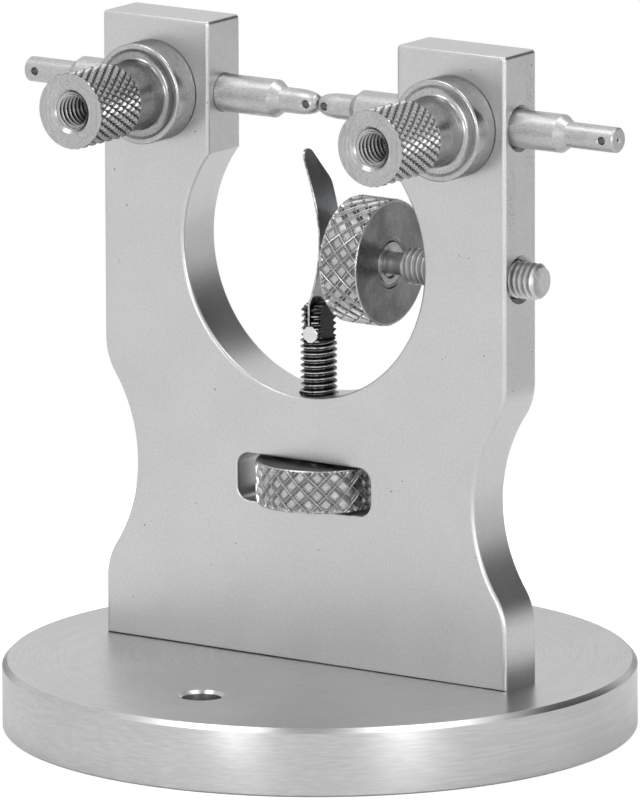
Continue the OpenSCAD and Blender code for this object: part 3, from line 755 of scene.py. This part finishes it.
print("index leaf and pins")
leaf = {
    "bow": 1.07,
    "bowFrom": 2.15,
    "bowLength": 10.65,
    "bowEase": 0.9,
    "width": 2.85,
    "tangWidth": 1.9,
    "tangDepth": 0.35,      # below the pivot
    "tangAbovePin": 0.05,
    "widening": 0.01,       # height over which the tang becomes the blade
    "thickness": 0.2,
    "edgeSoftness": 0.05,
    "tipRadius": 0.74,
    "slantHeight": 3.1,     # from the tip down to the shoulder's centre
    "shoulderRadius": 1.5,
    "rows": 90,
    "arcSteps": {"shoulder": 12, "tipBack": 16, "tipFront": 24},
    "frontRub": 0.9,        # the narrow edges are rubbed bright
    "backRub": 0.7,
    "sharpAngle": 35,
}


def leafPoints(s, tipHeight):
    # Heights are above the pivot. The middle bows sideways as a half sine that eases out of the slot, and the
    # front and back edges come from the outline of the tip.
    half, tang, steps = s["width"] / 2, s["tangWidth"] / 2, s["arcSteps"]
    tip = np.array([s["tipRadius"] - half, tipHeight - s["tipRadius"]])
    shoulder = np.array([half - s["shoulderRadius"], tipHeight - s["slantHeight"]])
    step = tip - shoulder
    slant = math.degrees(
        math.atan2(step[1], step[0]) - math.acos((s["shoulderRadius"] - s["tipRadius"]) / np.hypot(*step)))
    start, foot = -s["tangDepth"], pinHigh[2] - pinZ + s["tangAbovePin"]
    wide = foot + s["widening"]
    backEdge = np.concatenate([
        [(tang, start), (tang, foot), (half, wide)],
        arc(*shoulder, s["shoulderRadius"], 0, slant, steps["shoulder"]),
        arc(*tip, s["tipRadius"], slant, 90, steps["tipBack"]),
    ])
    frontEdge = np.concatenate([
        [(-tang, start), (-tang, foot), (-half, wide)],
        arc(*tip, s["tipRadius"], 180, 90, steps["tipFront"]),
    ])
    heights = np.concatenate([
        np.linspace(start, tip[1], s["rows"]), [foot, wide], backEdge[:, 1], frontEdge[:, 1]])
    heights = np.unique(np.round(heights, 5))[:-1]
    back = np.interp(heights, backEdge[:, 1], backEdge[:, 0])
    front = np.interp(heights, frontEdge[:, 1], frontEdge[:, 0])
    bowed = np.maximum(0, heights - s["bowFrom"])
    t = np.clip(bowed / s["bowEase"], 0, 1)
    middle = s["bow"] * np.sin(math.pi * bowed / s["bowLength"]) * t * t * (3 - 2 * t)
    soft, thick = s["edgeSoftness"], s["thickness"] / 2
    inner = np.minimum(soft, (back - front) / 2)
    # eight points round each section: two long faces and two narrow edges with soft corners
    y = np.stack([front, front, front + inner, back - inner, back, back, back - inner, front + inner], axis=1)
    x = np.array([-thick + soft, thick - soft, thick, thick, thick - soft, -thick + soft, -thick, -thick])
    z = np.broadcast_to(heights[:, None] + pinZ, y.shape)
    grid = np.stack([middle[:, None] + x[None, :], y, z], axis=-1)
    return np.concatenate([grid, grid[:, :1]], axis=1)


leafGrid = leafPoints(leaf, nodeBox("index_leaf")[1][2] - pinZ)
frontRub, backRub = leaf["frontRub"], leaf["backRub"]
rubbed = np.array([[frontRub, frontRub, 0, 0, backRub, backRub, 0, 0, frontRub]])
leafEnds = [np.stack([row, np.broadcast_to(row[:-1].mean(axis=0), row.shape)]) for row in leafGrid[[0, -1]]]
indexLeaf = newPiece(
    "index_leaf_blade", [(leafGrid, None, rubbed)] + leafEnds, sharpAngle=leaf["sharpAngle"])

pin = {"edge": 0.1, "ballSteps": 12, "columns": 48}
pinLength, pinRadius = pinHigh[1] - pinLow[1], (pinHigh[2] - pinLow[2]) / 2
pivot = softCorners([(0, 0), (pinRadius, 0), (pinRadius, pinLength), (0, pinLength)], [pin["edge"]] * 2)
leafPin = newPiece("leaf_pivot_pin", [turnedProfile(pivot, pin["columns"], (0, pinHigh[1], pinZ), "front")])

pusherLow, pusherHigh, _ = nodeBox("pusher_pin")
pusherRadius = (pusherHigh[2] - pusherLow[2]) / 2
ball = arc(0, pusherRadius, pusherRadius, -90, 0, pin["ballSteps"]) + (0, pusherLow[0])
pusher = np.concatenate([ball, [(pusherRadius, pusherHigh[0]), (0, pusherHigh[0])]])
pusherPin = newPiece("pusher_pin_rod", [turnedProfile(pusher, pin["columns"], (0, 0, sideZ), "right")])

print("draw bolts and base screws")
drawBolt = {
    "headLength": 5.1,
    "stemRadius": 1.2,
    "corners": (0.12, 0.1, 0.05, 0.2),
    "runnerHole": 1.675,
    "holeY": -0.125,
    "columns": 72,
}
baseScrew = {
    "headLength": 2.6,
    "stemRadius": 1.5,
    "corners": (0.2, 0.15, 0.1, 0.3),
    "socketHalf": 1.25,     # half the width of its hexagon, across the flats
    "socketDepth": 1.4,
    "columns": 72,
}


def headedPin(name, s, start, stop, headRadius, centre, direction):
    # a turned head and a thinner stem
    shoulder, stem = start + s["headLength"], s["stemRadius"]
    profile = softCorners(
        [(0, start), (headRadius, start), (headRadius, shoulder), (stem, shoulder), (stem, stop), (0, stop)],
        s["corners"],
    )
    return newPiece(name, [turnedProfile(profile, s["columns"], centre, direction)])


boltPieces = {}
for side in ("left", "right"):
    low, high, middle = nodeBox(f"{side}_draw_bolt")
    headRadius, centre = (high[2] - low[2]) / 2, (middle[0], high[1], runnerZ)
    bolt = headedPin(f"{side}_draw_bolt_pin", drawBolt, 0, high[1] - low[1], headRadius, centre, "front")
    holeCentre, holeHalf = (middle[0], drawBolt["holeY"], runnerZ), headRadius + past
    reshape(bolt, [drill(drawBolt["runnerHole"], -holeHalf, holeHalf, holeCentre, "right")])
    boltPieces[side] = bolt

screwPieces = {}
for side in ("left", "right"):
    low, high, middle = nodeBox(f"{side}_base_screw")
    headRadius, centre = (high[0] - low[0]) / 2, (middle[0], 0, 0)
    screw = headedPin(f"{side}_socket_screw", baseScrew, low[2], high[2], headRadius, centre, "up")
    hexagon = arc(middle[0], 0, baseScrew["socketHalf"] / math.cos(math.pi / 6), 0, 360, 6)[:-1]
    reshape(screw, [prism(hexagon, low[2] - past, low[2] + baseScrew["socketDepth"], "up")])
    screwPieces[side] = screw


def hexToLinear(code):
    # sRGB hex to linear light
    values = [int(code[k:k + 2], 16) / 255 for k in (1, 3, 5)]
    return tuple(v / 12.92 if v <= 0.04045 else ((v + 0.055) / 1.055) ** 2.4 for v in values) + (1,)


def addNode(tree, kind, settings=(), links=()):
    # Settings are attributes or unlinked inputs. A link comes from a socket, or from a node's first output.
    node = tree.nodes.new(kind)
    for key, value in dict(settings).items():
        if isinstance(key, int) or key in node.inputs:
            node.inputs[key].default_value = value
        else:
            setattr(node, key, value)
    for key, source in dict(links).items():
        tree.links.new(source.outputs[0] if hasattr(source, "outputs") else source, node.inputs[key])
    return node


def addBurns(tree, burns, place, pit):
    # Two soft upright bands of fine dark specks on the plate's right side, where a cutter rubbed. A band is dark
    # where a fine noise is high, and it fades away from its middle across, up and down, and inwards.
    axes = addNode(tree, "ShaderNodeSeparateXYZ", links={0: place}).outputs
    finer = (0, 1 / (burns["speckLength"] * mm), 1 / (burns["speckHeight"] * mm))
    stretched = addNode(tree, "ShaderNodeVectorMath", {"operation": "MULTIPLY", 1: finer}, {0: place})
    noise = addNode(tree, "ShaderNodeTexNoise", {"Scale": 1.0, "Detail": 3.0}, {"Vector": stretched})
    specks = addNode(tree, "ShaderNodeMapRange", {
        "From Min": burns["speckFrom"], "From Max": burns["speckFull"], "To Max": burns["dark"],
    }, {"Value": noise})
    for y, low, high in burns["bands"]:
        spans = ((plateHalf, burns["depth"]), (y, burns["bandHalf"]), ((low + high) / 2, (high - low) / 2))
        smudge = specks
        for axis, (middle, reach) in zip(axes, spans):
            offset = addNode(tree, "ShaderNodeMath", {"operation": "SUBTRACT", 1: middle * mm}, {0: axis})
            away = addNode(tree, "ShaderNodeMath", {"operation": "ABSOLUTE"}, {0: offset})
            inside = addNode(tree, "ShaderNodeMapRange", {
                "From Min": burns["core"] * reach * mm, "From Max": reach * mm, "To Min": 1.0, "To Max": 0.0,
            }, {"Value": away})
            smudge = addNode(tree, "ShaderNodeMath", {"operation": "MULTIPLY"}, {0: smudge, 1: inside})
        pit = addNode(tree, "ShaderNodeMath", {"operation": "MAXIMUM"}, {0: smudge, 1: pit})
    return pit


def steel(name, s, direction=None, centre=(0, 0, 0)):
    # One steel. Its tone and roughness wander slowly over the piece, and a fine grain lies over them: drawn out by
    # the three factors of its lay on ground work, and into rings where the piece was turned about a direction.
    # Pits are small and dark. The mesh's mark attribute, broken up by the grain or the slow change, brings in a
    # second colour: dark for painted shade in grooves, bores and seams, and light for bare steel on a worn edge and
    # for a painted highlight on a thread.
    material = bpy.data.materials.new(name)
    material.use_nodes = True
    tree = material.node_tree
    shader = tree.nodes["Principled BSDF"]
    shader.inputs["Metallic"].default_value = s["metallic"]
    shader.inputs["Specular Tint"].default_value = hexToLinear(s["edgeTint"])
    place = addNode(tree, "ShaderNodeTexCoord").outputs["Object"]
    if direction:
        e1, e2, e3 = turningAxes[direction]
        fromCentre = addNode(tree, "ShaderNodeVectorMath", {
            "operation": "SUBTRACT", 1: np.array(centre, float) * mm}, {0: place})
        spoke = addNode(tree, "ShaderNodeVectorMath", {
            "operation": "MULTIPLY", 1: np.abs(e1) + np.abs(e2)}, {0: fromCentre})
        distance = addNode(tree, "ShaderNodeVectorMath", {"operation": "LENGTH"}, {0: spoke})
        height = addNode(tree, "ShaderNodeVectorMath", {"operation": "DOT_PRODUCT", 1: e3}, {0: fromCentre})
        aside = addNode(tree, "ShaderNodeVectorMath", {
            "operation": "DOT_PRODUCT", 1: e1 * s["lay"]}, {0: fromCentre})
        grainPlace = addNode(tree, "ShaderNodeCombineXYZ", links={
            k: source.outputs["Value"] for k, source in enumerate((distance, height, aside))})
        if s["anisotropy"]:
            # the highlight spreads across the tool lines, which run round the axis
            shader.inputs["Anisotropic"].default_value = s["anisotropy"]
            shader.inputs["Anisotropic Rotation"].default_value = 0.25
            tangent = addNode(tree, "ShaderNodeTangent", {
                "direction_type": "RADIAL", "axis": "XYZ"[int(np.argmax(np.abs(e3)))]})
            tree.links.new(tangent.outputs[0], shader.inputs["Tangent"])
    else:
        grainPlace = addNode(tree, "ShaderNodeVectorMath", {"operation": "MULTIPLY", 1: s["lay"]}, {0: place})
    grain = addNode(tree, "ShaderNodeTexNoise", {
        "Scale": 1 / (s["grain"] * mm), "Detail": 3.0, "Roughness": 0.6}, {"Vector": grainPlace})
    cloud = addNode(tree, "ShaderNodeTexNoise", {
        "Scale": 1 / (s["cloud"] * mm), "Detail": 3.0}, {"Vector": place})
    fine = addNode(tree, "ShaderNodeMapRange", {
        "From Min": 0.25, "From Max": 0.75, "To Min": 1 - s["grainTone"], "To Max": 1 + s["grainTone"],
    }, {"Value": grain})
    slow = addNode(tree, "ShaderNodeMapRange", {
        "From Min": 0.3, "From Max": 0.7, "To Min": 1 - s["cloudTone"], "To Max": 1 + s["cloudTone"],
    }, {"Value": cloud})
    tone = addNode(tree, "ShaderNodeMath", {"operation": "MULTIPLY"}, {0: fine, 1: slow})
    colour = addNode(tree, "ShaderNodeVectorMath", {
        "operation": "SCALE", 0: hexToLinear(s["colour"])[:3]}, {"Scale": tone})
    cells = addNode(tree, "ShaderNodeTexVoronoi", {"Scale": 1 / (s["pitSpacing"] * mm)}, {"Vector": place})
    share = s["pitSize"] / s["pitSpacing"]
    near = addNode(tree, "ShaderNodeMapRange", {
        "From Min": share * 0.5, "From Max": share, "To Min": s["pitDark"], "To Max": 0.0,
    }, {"Value": cells.outputs["Distance"]})
    chosen = addNode(tree, "ShaderNodeMath", {
        "operation": "LESS_THAN", 1: s["pitShare"]}, {0: cells.outputs["Color"]})
    pit = addNode(tree, "ShaderNodeMath", {"operation": "MULTIPLY"}, {0: near, 1: chosen})
    if "burns" in s:
        pit = addBurns(tree, s["burns"], place, pit)
    colour = addNode(tree, "ShaderNodeMix", {
        "data_type": "RGBA", 7: hexToLinear(s["pitColour"])}, {0: pit, 6: colour}).outputs[2]
    if "markColour" in s:
        mark = addNode(tree, "ShaderNodeAttribute", {"attribute_name": "mark"}).outputs["Fac"]
        patchy = addNode(tree, "ShaderNodeMapRange", {
            "From Min": 0.35, "From Max": 0.65, "To Min": 1 - s["markPatchy"], "To Max": 1 + s["markPatchy"],
        }, {"Value": grain if s["markByGrain"] else cloud})
        amount = addNode(tree, "ShaderNodeMath", {"operation": "MULTIPLY"}, {0: mark, 1: patchy})
        covered = addNode(tree, "ShaderNodeMapRange", {
            "From Min": s["markFrom"], "From Max": 1.0, "To Max": s["markShare"]}, {"Value": amount})
        colour = addNode(tree, "ShaderNodeMix", {
            "data_type": "RGBA", 7: hexToLinear(s["markColour"])}, {0: covered, 6: colour}).outputs[2]
    tree.links.new(colour, shader.inputs["Base Color"])
    rough = addNode(tree, "ShaderNodeMapRange", {
        "From Min": 0.3, "From Max": 0.7,
        "To Min": s["roughness"] - s["cloudRoughness"], "To Max": s["roughness"] + s["cloudRoughness"],
    }, {"Value": cloud})
    tree.links.new(rough.outputs[0], shader.inputs["Roughness"])
    sunk = addNode(tree, "ShaderNodeMath", {"operation": "MULTIPLY", 1: -s["pitDepth"] * mm}, {0: pit})
    relief = addNode(tree, "ShaderNodeMath", {
        "operation": "MULTIPLY_ADD", 1: s["grainDepth"] * mm}, {0: grain, 2: sunk})
    bump = addNode(tree, "ShaderNodeBump", {"Distance": 1.0}, {"Height": relief})
    tree.links.new(bump.outputs[0], shader.inputs["Normal"])
    return material


print("materials")
# Lengths are in mm. The real grain is 0.02 to 0.05 mm and wouldn't show, so every grain is drawn 3 to 5 times
# coarser. A steel's lay has three factors on ground work, and one on turned work.
# ground and bead-dulled stainless steel: an even satin that blurs what it mirrors, with a few pits
groundSteel = {
    "colour": "#cacaca", "edgeTint": "#ffffff", "metallic": 1.0, "roughness": 0.34, "cloudRoughness": 0.02,
    "cloud": 5.0, "cloudTone": 0.025, "grain": 0.18, "grainTone": 0.09, "grainDepth": 0.0012,
    "lay": (1.0, 1.0, 0.9), "anisotropy": 0.0,
    "pitColour": "#1c1c1c", "pitSpacing": 1.3, "pitSize": 0.09, "pitShare": 0.35, "pitDark": 0.8,
    "pitDepth": 0.01,
}
burns = {
    "speckLength": 0.22, "speckHeight": 0.16, "speckFrom": 0.5, "speckFull": 0.75, "dark": 0.6,
    "depth": 0.1, "bandHalf": 0.7, "core": 0.4,             # the share of a band that doesn't fade
    "bands": [(1.2, 44.5, 55.2), (-1.3, 40.5, 48.0)],       # place across the side, from z, to z
}
# turned stainless steel: fine rings round the axis, which draw every reflection out across them
turnedStainless = groundSteel | {
    "colour": "#bfbfbf", "roughness": 0.3, "cloudRoughness": 0.03, "cloud": 7.0, "cloudTone": 0.05,
    "grain": 0.13, "grainTone": 0.12, "lay": 0.12, "anisotropy": 0.5,
    "pitSpacing": 1.2, "pitSize": 0.07, "pitShare": 0.3, "pitDark": 0.4,
}
# knurled and turned steel: bright tops, and a dark colour for painted shade in the grooves
knurled = groundSteel | {
    "colour": "#b7b7b7", "edgeTint": "#b0b0b0", "roughness": 0.27, "cloudRoughness": 0.04, "cloud": 2.0,
    "cloudTone": 0.06, "grain": 0.12, "grainTone": 0.22, "lay": 0.6,
    "pitSpacing": 0.6, "pitSize": 0.08, "pitDark": 0.6,
    "markColour": "#222222", "markFrom": 0.1, "markShare": 0.9, "markPatchy": 0.22, "markByGrain": False,
}
# turned rod: satin and a little grainy
turnedRod = groundSteel | {
    "colour": "#bcbcbc", "roughness": 0.4, "cloud": 2.5, "cloudTone": 0.05, "grain": 0.12, "grainTone": 0.16,
    "lay": 0.45, "pitSpacing": 0.8, "pitSize": 0.06, "pitShare": 0.4, "pitDark": 0.5,
    # its mark colour is painted shade in the side stud's thread groove
    "markColour": "#3a3a3a", "markFrom": 0.25, "markShare": 0.8, "markPatchy": 0.3, "markByGrain": False,
}
# polished hardened pin: the brightest metal, almost white
polished = groundSteel | {"colour": "#e2e2e2", "roughness": 0.26, "grainTone": 0.04, "pitShare": 0.1}
# black oxide: a near-black skin, worn through to bright steel on the thread's crests, which also stands as a
# painted highlight there, and a painted highlight along its roots
blackOxide = groundSteel | {
    "colour": "#2b2b2c", "metallic": 0.8, "roughness": 0.32, "cloud": 1.2, "cloudTone": 0.2, "grain": 0.12,
    "grainTone": 0.2, "lay": 0.5, "pitShare": 0.0,
    "markColour": "#d4d4d4", "markFrom": 0.78, "markShare": 0.95, "markPatchy": 0.15, "markByGrain": True,
}
# blued spring steel, rubbed back to a grey that mirrors the dark opening softly, with bright specks on its edges
blued = groundSteel | {
    "colour": "#8c8d8f", "roughness": 0.22, "cloud": 2.0, "cloudTone": 0.15, "grain": 0.14, "grainTone": 0.12,
    "lay": (1.0, 1.0, 0.3), "pitSpacing": 0.6, "pitSize": 0.07, "pitShare": 0.3, "pitDark": 0.5,
    "markColour": "#dadada", "markFrom": 0.5, "markShare": 0.9, "markPatchy": 0.8, "markByGrain": True,
}
plateSteel = steel("ground_stainless_plate", groundSteel | {"burns": burns})
baseSteel = steel("turned_stainless_base", turnedStainless, "up")
wheelSteel = steel("knurled_steel_side_wheel", knurled, "right", (0, 0, sideZ))
nutSteel = steel("knurled_steel_height_nut", knurled, "up")
studSteel = steel(
    "turned_steel_side_stud", turnedRod | {"colour": "#cccccc", "markShare": 0.4}, "right", (0, 0, sideZ))
# the runners are drawn rod, with faint streaks along them
runnerSteel = steel("drawn_steel_runners", turnedRod | {"lay": (0.4, 1.0, 1.0), "grainTone": 0.2})
pinSteel = steel("polished_pin_steel", polished)
screwSteel = steel("black_oxide_screw", blackOxide, "up")
socketSteel = steel("black_oxide_base_screws", blackOxide | {"colour": "#2e2e30"}, "up")
leafSteel = steel("blued_spring_steel", blued)

finishPiece(baseDisc, "root", baseSteel, "base")
finishPiece(framePlate, "root", plateSteel, "frame")
finishPiece(heightNut, "height_wheel", nutSteel, "height_nut")
finishPiece(indexScrew, "index_carrier", screwSteel, "index_screw")
finishPiece(indexLeaf, "leaf", leafSteel, "index_leaf")
finishPiece(leafPin, "leaf", pinSteel, "leaf_pin")
finishPiece(sideWheel, "side_screw", wheelSteel, "side_wheel")
finishPiece(sideStud, "side_screw", studSteel, "side_stud")
finishPiece(pusherPin, "pusher", pinSteel, "pusher_pin")
for side, x in (("left", -clampX), ("right", clampX)):
    knobSteel = steel(f"knurled_steel_{side}_nut", knurled, "front", (x, 0, runnerZ))
    boltSteel = steel(f"turned_steel_{side}_bolt", turnedRod, "front", (x, 0, runnerZ))
    finishPiece(screwPieces[side], "root", socketSteel, f"{side}_base_screw")
    finishPiece(clampPieces[side], f"{side}_nut", knobSteel, f"{side}_clamp_nut")
    finishPiece(boltPieces[side], f"{side}_bolt", boltSteel, f"{side}_draw_bolt")
    finishPiece(runnerPieces[side], f"{side}_rod", runnerSteel, f"{side}_runner")

print("camera, floor and light")
view = {
    "azimuth": 34.603,      # degrees to the right of the plate's front
    "elevation": 11.858,
    "roll": -0.205,
    "aim": (0.297, -0.285, 26.030),
    "distance": 1019.67,
    "lens": 585.32,
    "clip": (0.1, 20),      # in metres
}
turn, tilt, roll = (math.radians(view[k]) for k in ("azimuth", "elevation", "roll"))
outwards = Vector((math.sin(turn) * math.cos(tilt), -math.cos(turn) * math.cos(tilt), math.sin(tilt)))
sideways = Vector((math.cos(turn), math.sin(turn), 0))
right = sideways * math.cos(roll) + outwards.cross(sideways) * math.sin(roll)
lensPlace = (Vector(view["aim"]) + outwards * view["distance"]) * mm
cameraData = bpy.data.cameras.new("camera")
cameraData.lens = view["lens"]
cameraData.clip_start, cameraData.clip_end = view["clip"]
camera = newObject("camera", cameraData)
camera.matrix_world = Matrix.Translation(lensPlace) @ Matrix(
    (right, outwards.cross(right), outwards)).transposed().to_4x4()
scene.camera = camera

# The table is a white disc, and the rest of what the metal mirrors is a white tent with two lamps over it, a dark
# top and a dark opening behind the right arm. Each patch is a round spot of the sky: azimuth, elevation, radius,
# soft edge and brightness, the first four in degrees.
studio = {
    "tent": 0.92,
    "tableRadius": 90.0,
    "tableSides": 96,
    "tableColour": "#e8e8e8",
    "tableRoughness": 0.9,
    "tableGlow": 0.42,      # seen by the camera alone, so that the table is white in the picture
    "patches": [
        (150, 25, 24, 7, 0.02),     # dark opening
        (147, -8, 12, 9, 0.66),     # its grey lower edge
        (20, 84, 13, 6, 0.2),       # top of the tent
        (-42, 66, 12, 3, 5.0),      # left lamp
        (106, 68, 12, 3, 5.0),      # right lamp
        (5, 8, 6, 6, 8.0),          # two narrow gaps in the tent, which draw bright bands on the base's rim
        (65, 8, 6, 7, 7.5),
        (-160, -2, 14, 8, 0.4),     # grey corner behind the left arm
        (-122, -6, 15, 10, 0.3),    # and its left part, which left edges mirror as a thin line
    ],
}
sides = studio["tableSides"]
rim = np.pad(arc(0, 0, studio["tableRadius"], 0, 360, sides)[:-1], ((0, 0), (0, 1)))
floor = newPiece("floor", [], np.concatenate([np.array([(0, 0, 0)]), rim]), [
    [0, k + 1, (k + 1) % sides + 1] for k in range(sides)])
floorMaterial = bpy.data.materials.new("white_table")
floorMaterial.use_nodes = True
floorTree = floorMaterial.node_tree
floorShader = floorTree.nodes["Principled BSDF"]
floorShader.inputs["Base Color"].default_value = hexToLinear(studio["tableColour"])
floorShader.inputs["Roughness"].default_value = studio["tableRoughness"]
floorShader.inputs["Emission Color"].default_value = (1, 1, 1, 1)
glow = addNode(floorTree, "ShaderNodeMath", {"operation": "MULTIPLY", 1: studio["tableGlow"]},
               {0: addNode(floorTree, "ShaderNodeLightPath").outputs["Is Camera Ray"]})
floorTree.links.new(glow.outputs[0], floorShader.inputs["Emission Strength"])
floor.data.materials.append(floorMaterial)

world = bpy.data.worlds.new("studio")
scene.world = world
world.use_nodes = True
sky = world.node_tree
skyPlace = addNode(sky, "ShaderNodeTexCoord").outputs["Generated"]
light = addNode(sky, "ShaderNodeValue")
light.outputs[0].default_value = studio["tent"]
for azimuth, elevation, radius, softEdge, brightness in studio["patches"]:
    a, e = math.radians(azimuth), math.radians(elevation)
    towards = (math.sin(a) * math.cos(e), -math.cos(a) * math.cos(e), math.sin(e))
    nearness = addNode(sky, "ShaderNodeVectorMath", {"operation": "DOT_PRODUCT", 1: towards}, {0: skyPlace})
    inside = addNode(sky, "ShaderNodeMapRange", {
        "interpolation_type": "SMOOTHSTEP",
        "From Min": math.cos(math.radians(radius + softEdge)),
        "From Max": math.cos(math.radians(radius - softEdge)),
    }, {"Value": nearness.outputs["Value"]})
    light = addNode(sky, "ShaderNodeMix", {3: brightness}, {0: inside, 2: light})
seenDirectly = addNode(sky, "ShaderNodeLightPath").outputs["Is Camera Ray"]
light = addNode(sky, "ShaderNodeMix", {3: 1.0}, {0: seenDirectly, 2: light})
sky.links.new(light.outputs[0], sky.nodes["Background"].inputs["Color"])

scene.view_settings.view_transform = "Standard"

print("scene done")
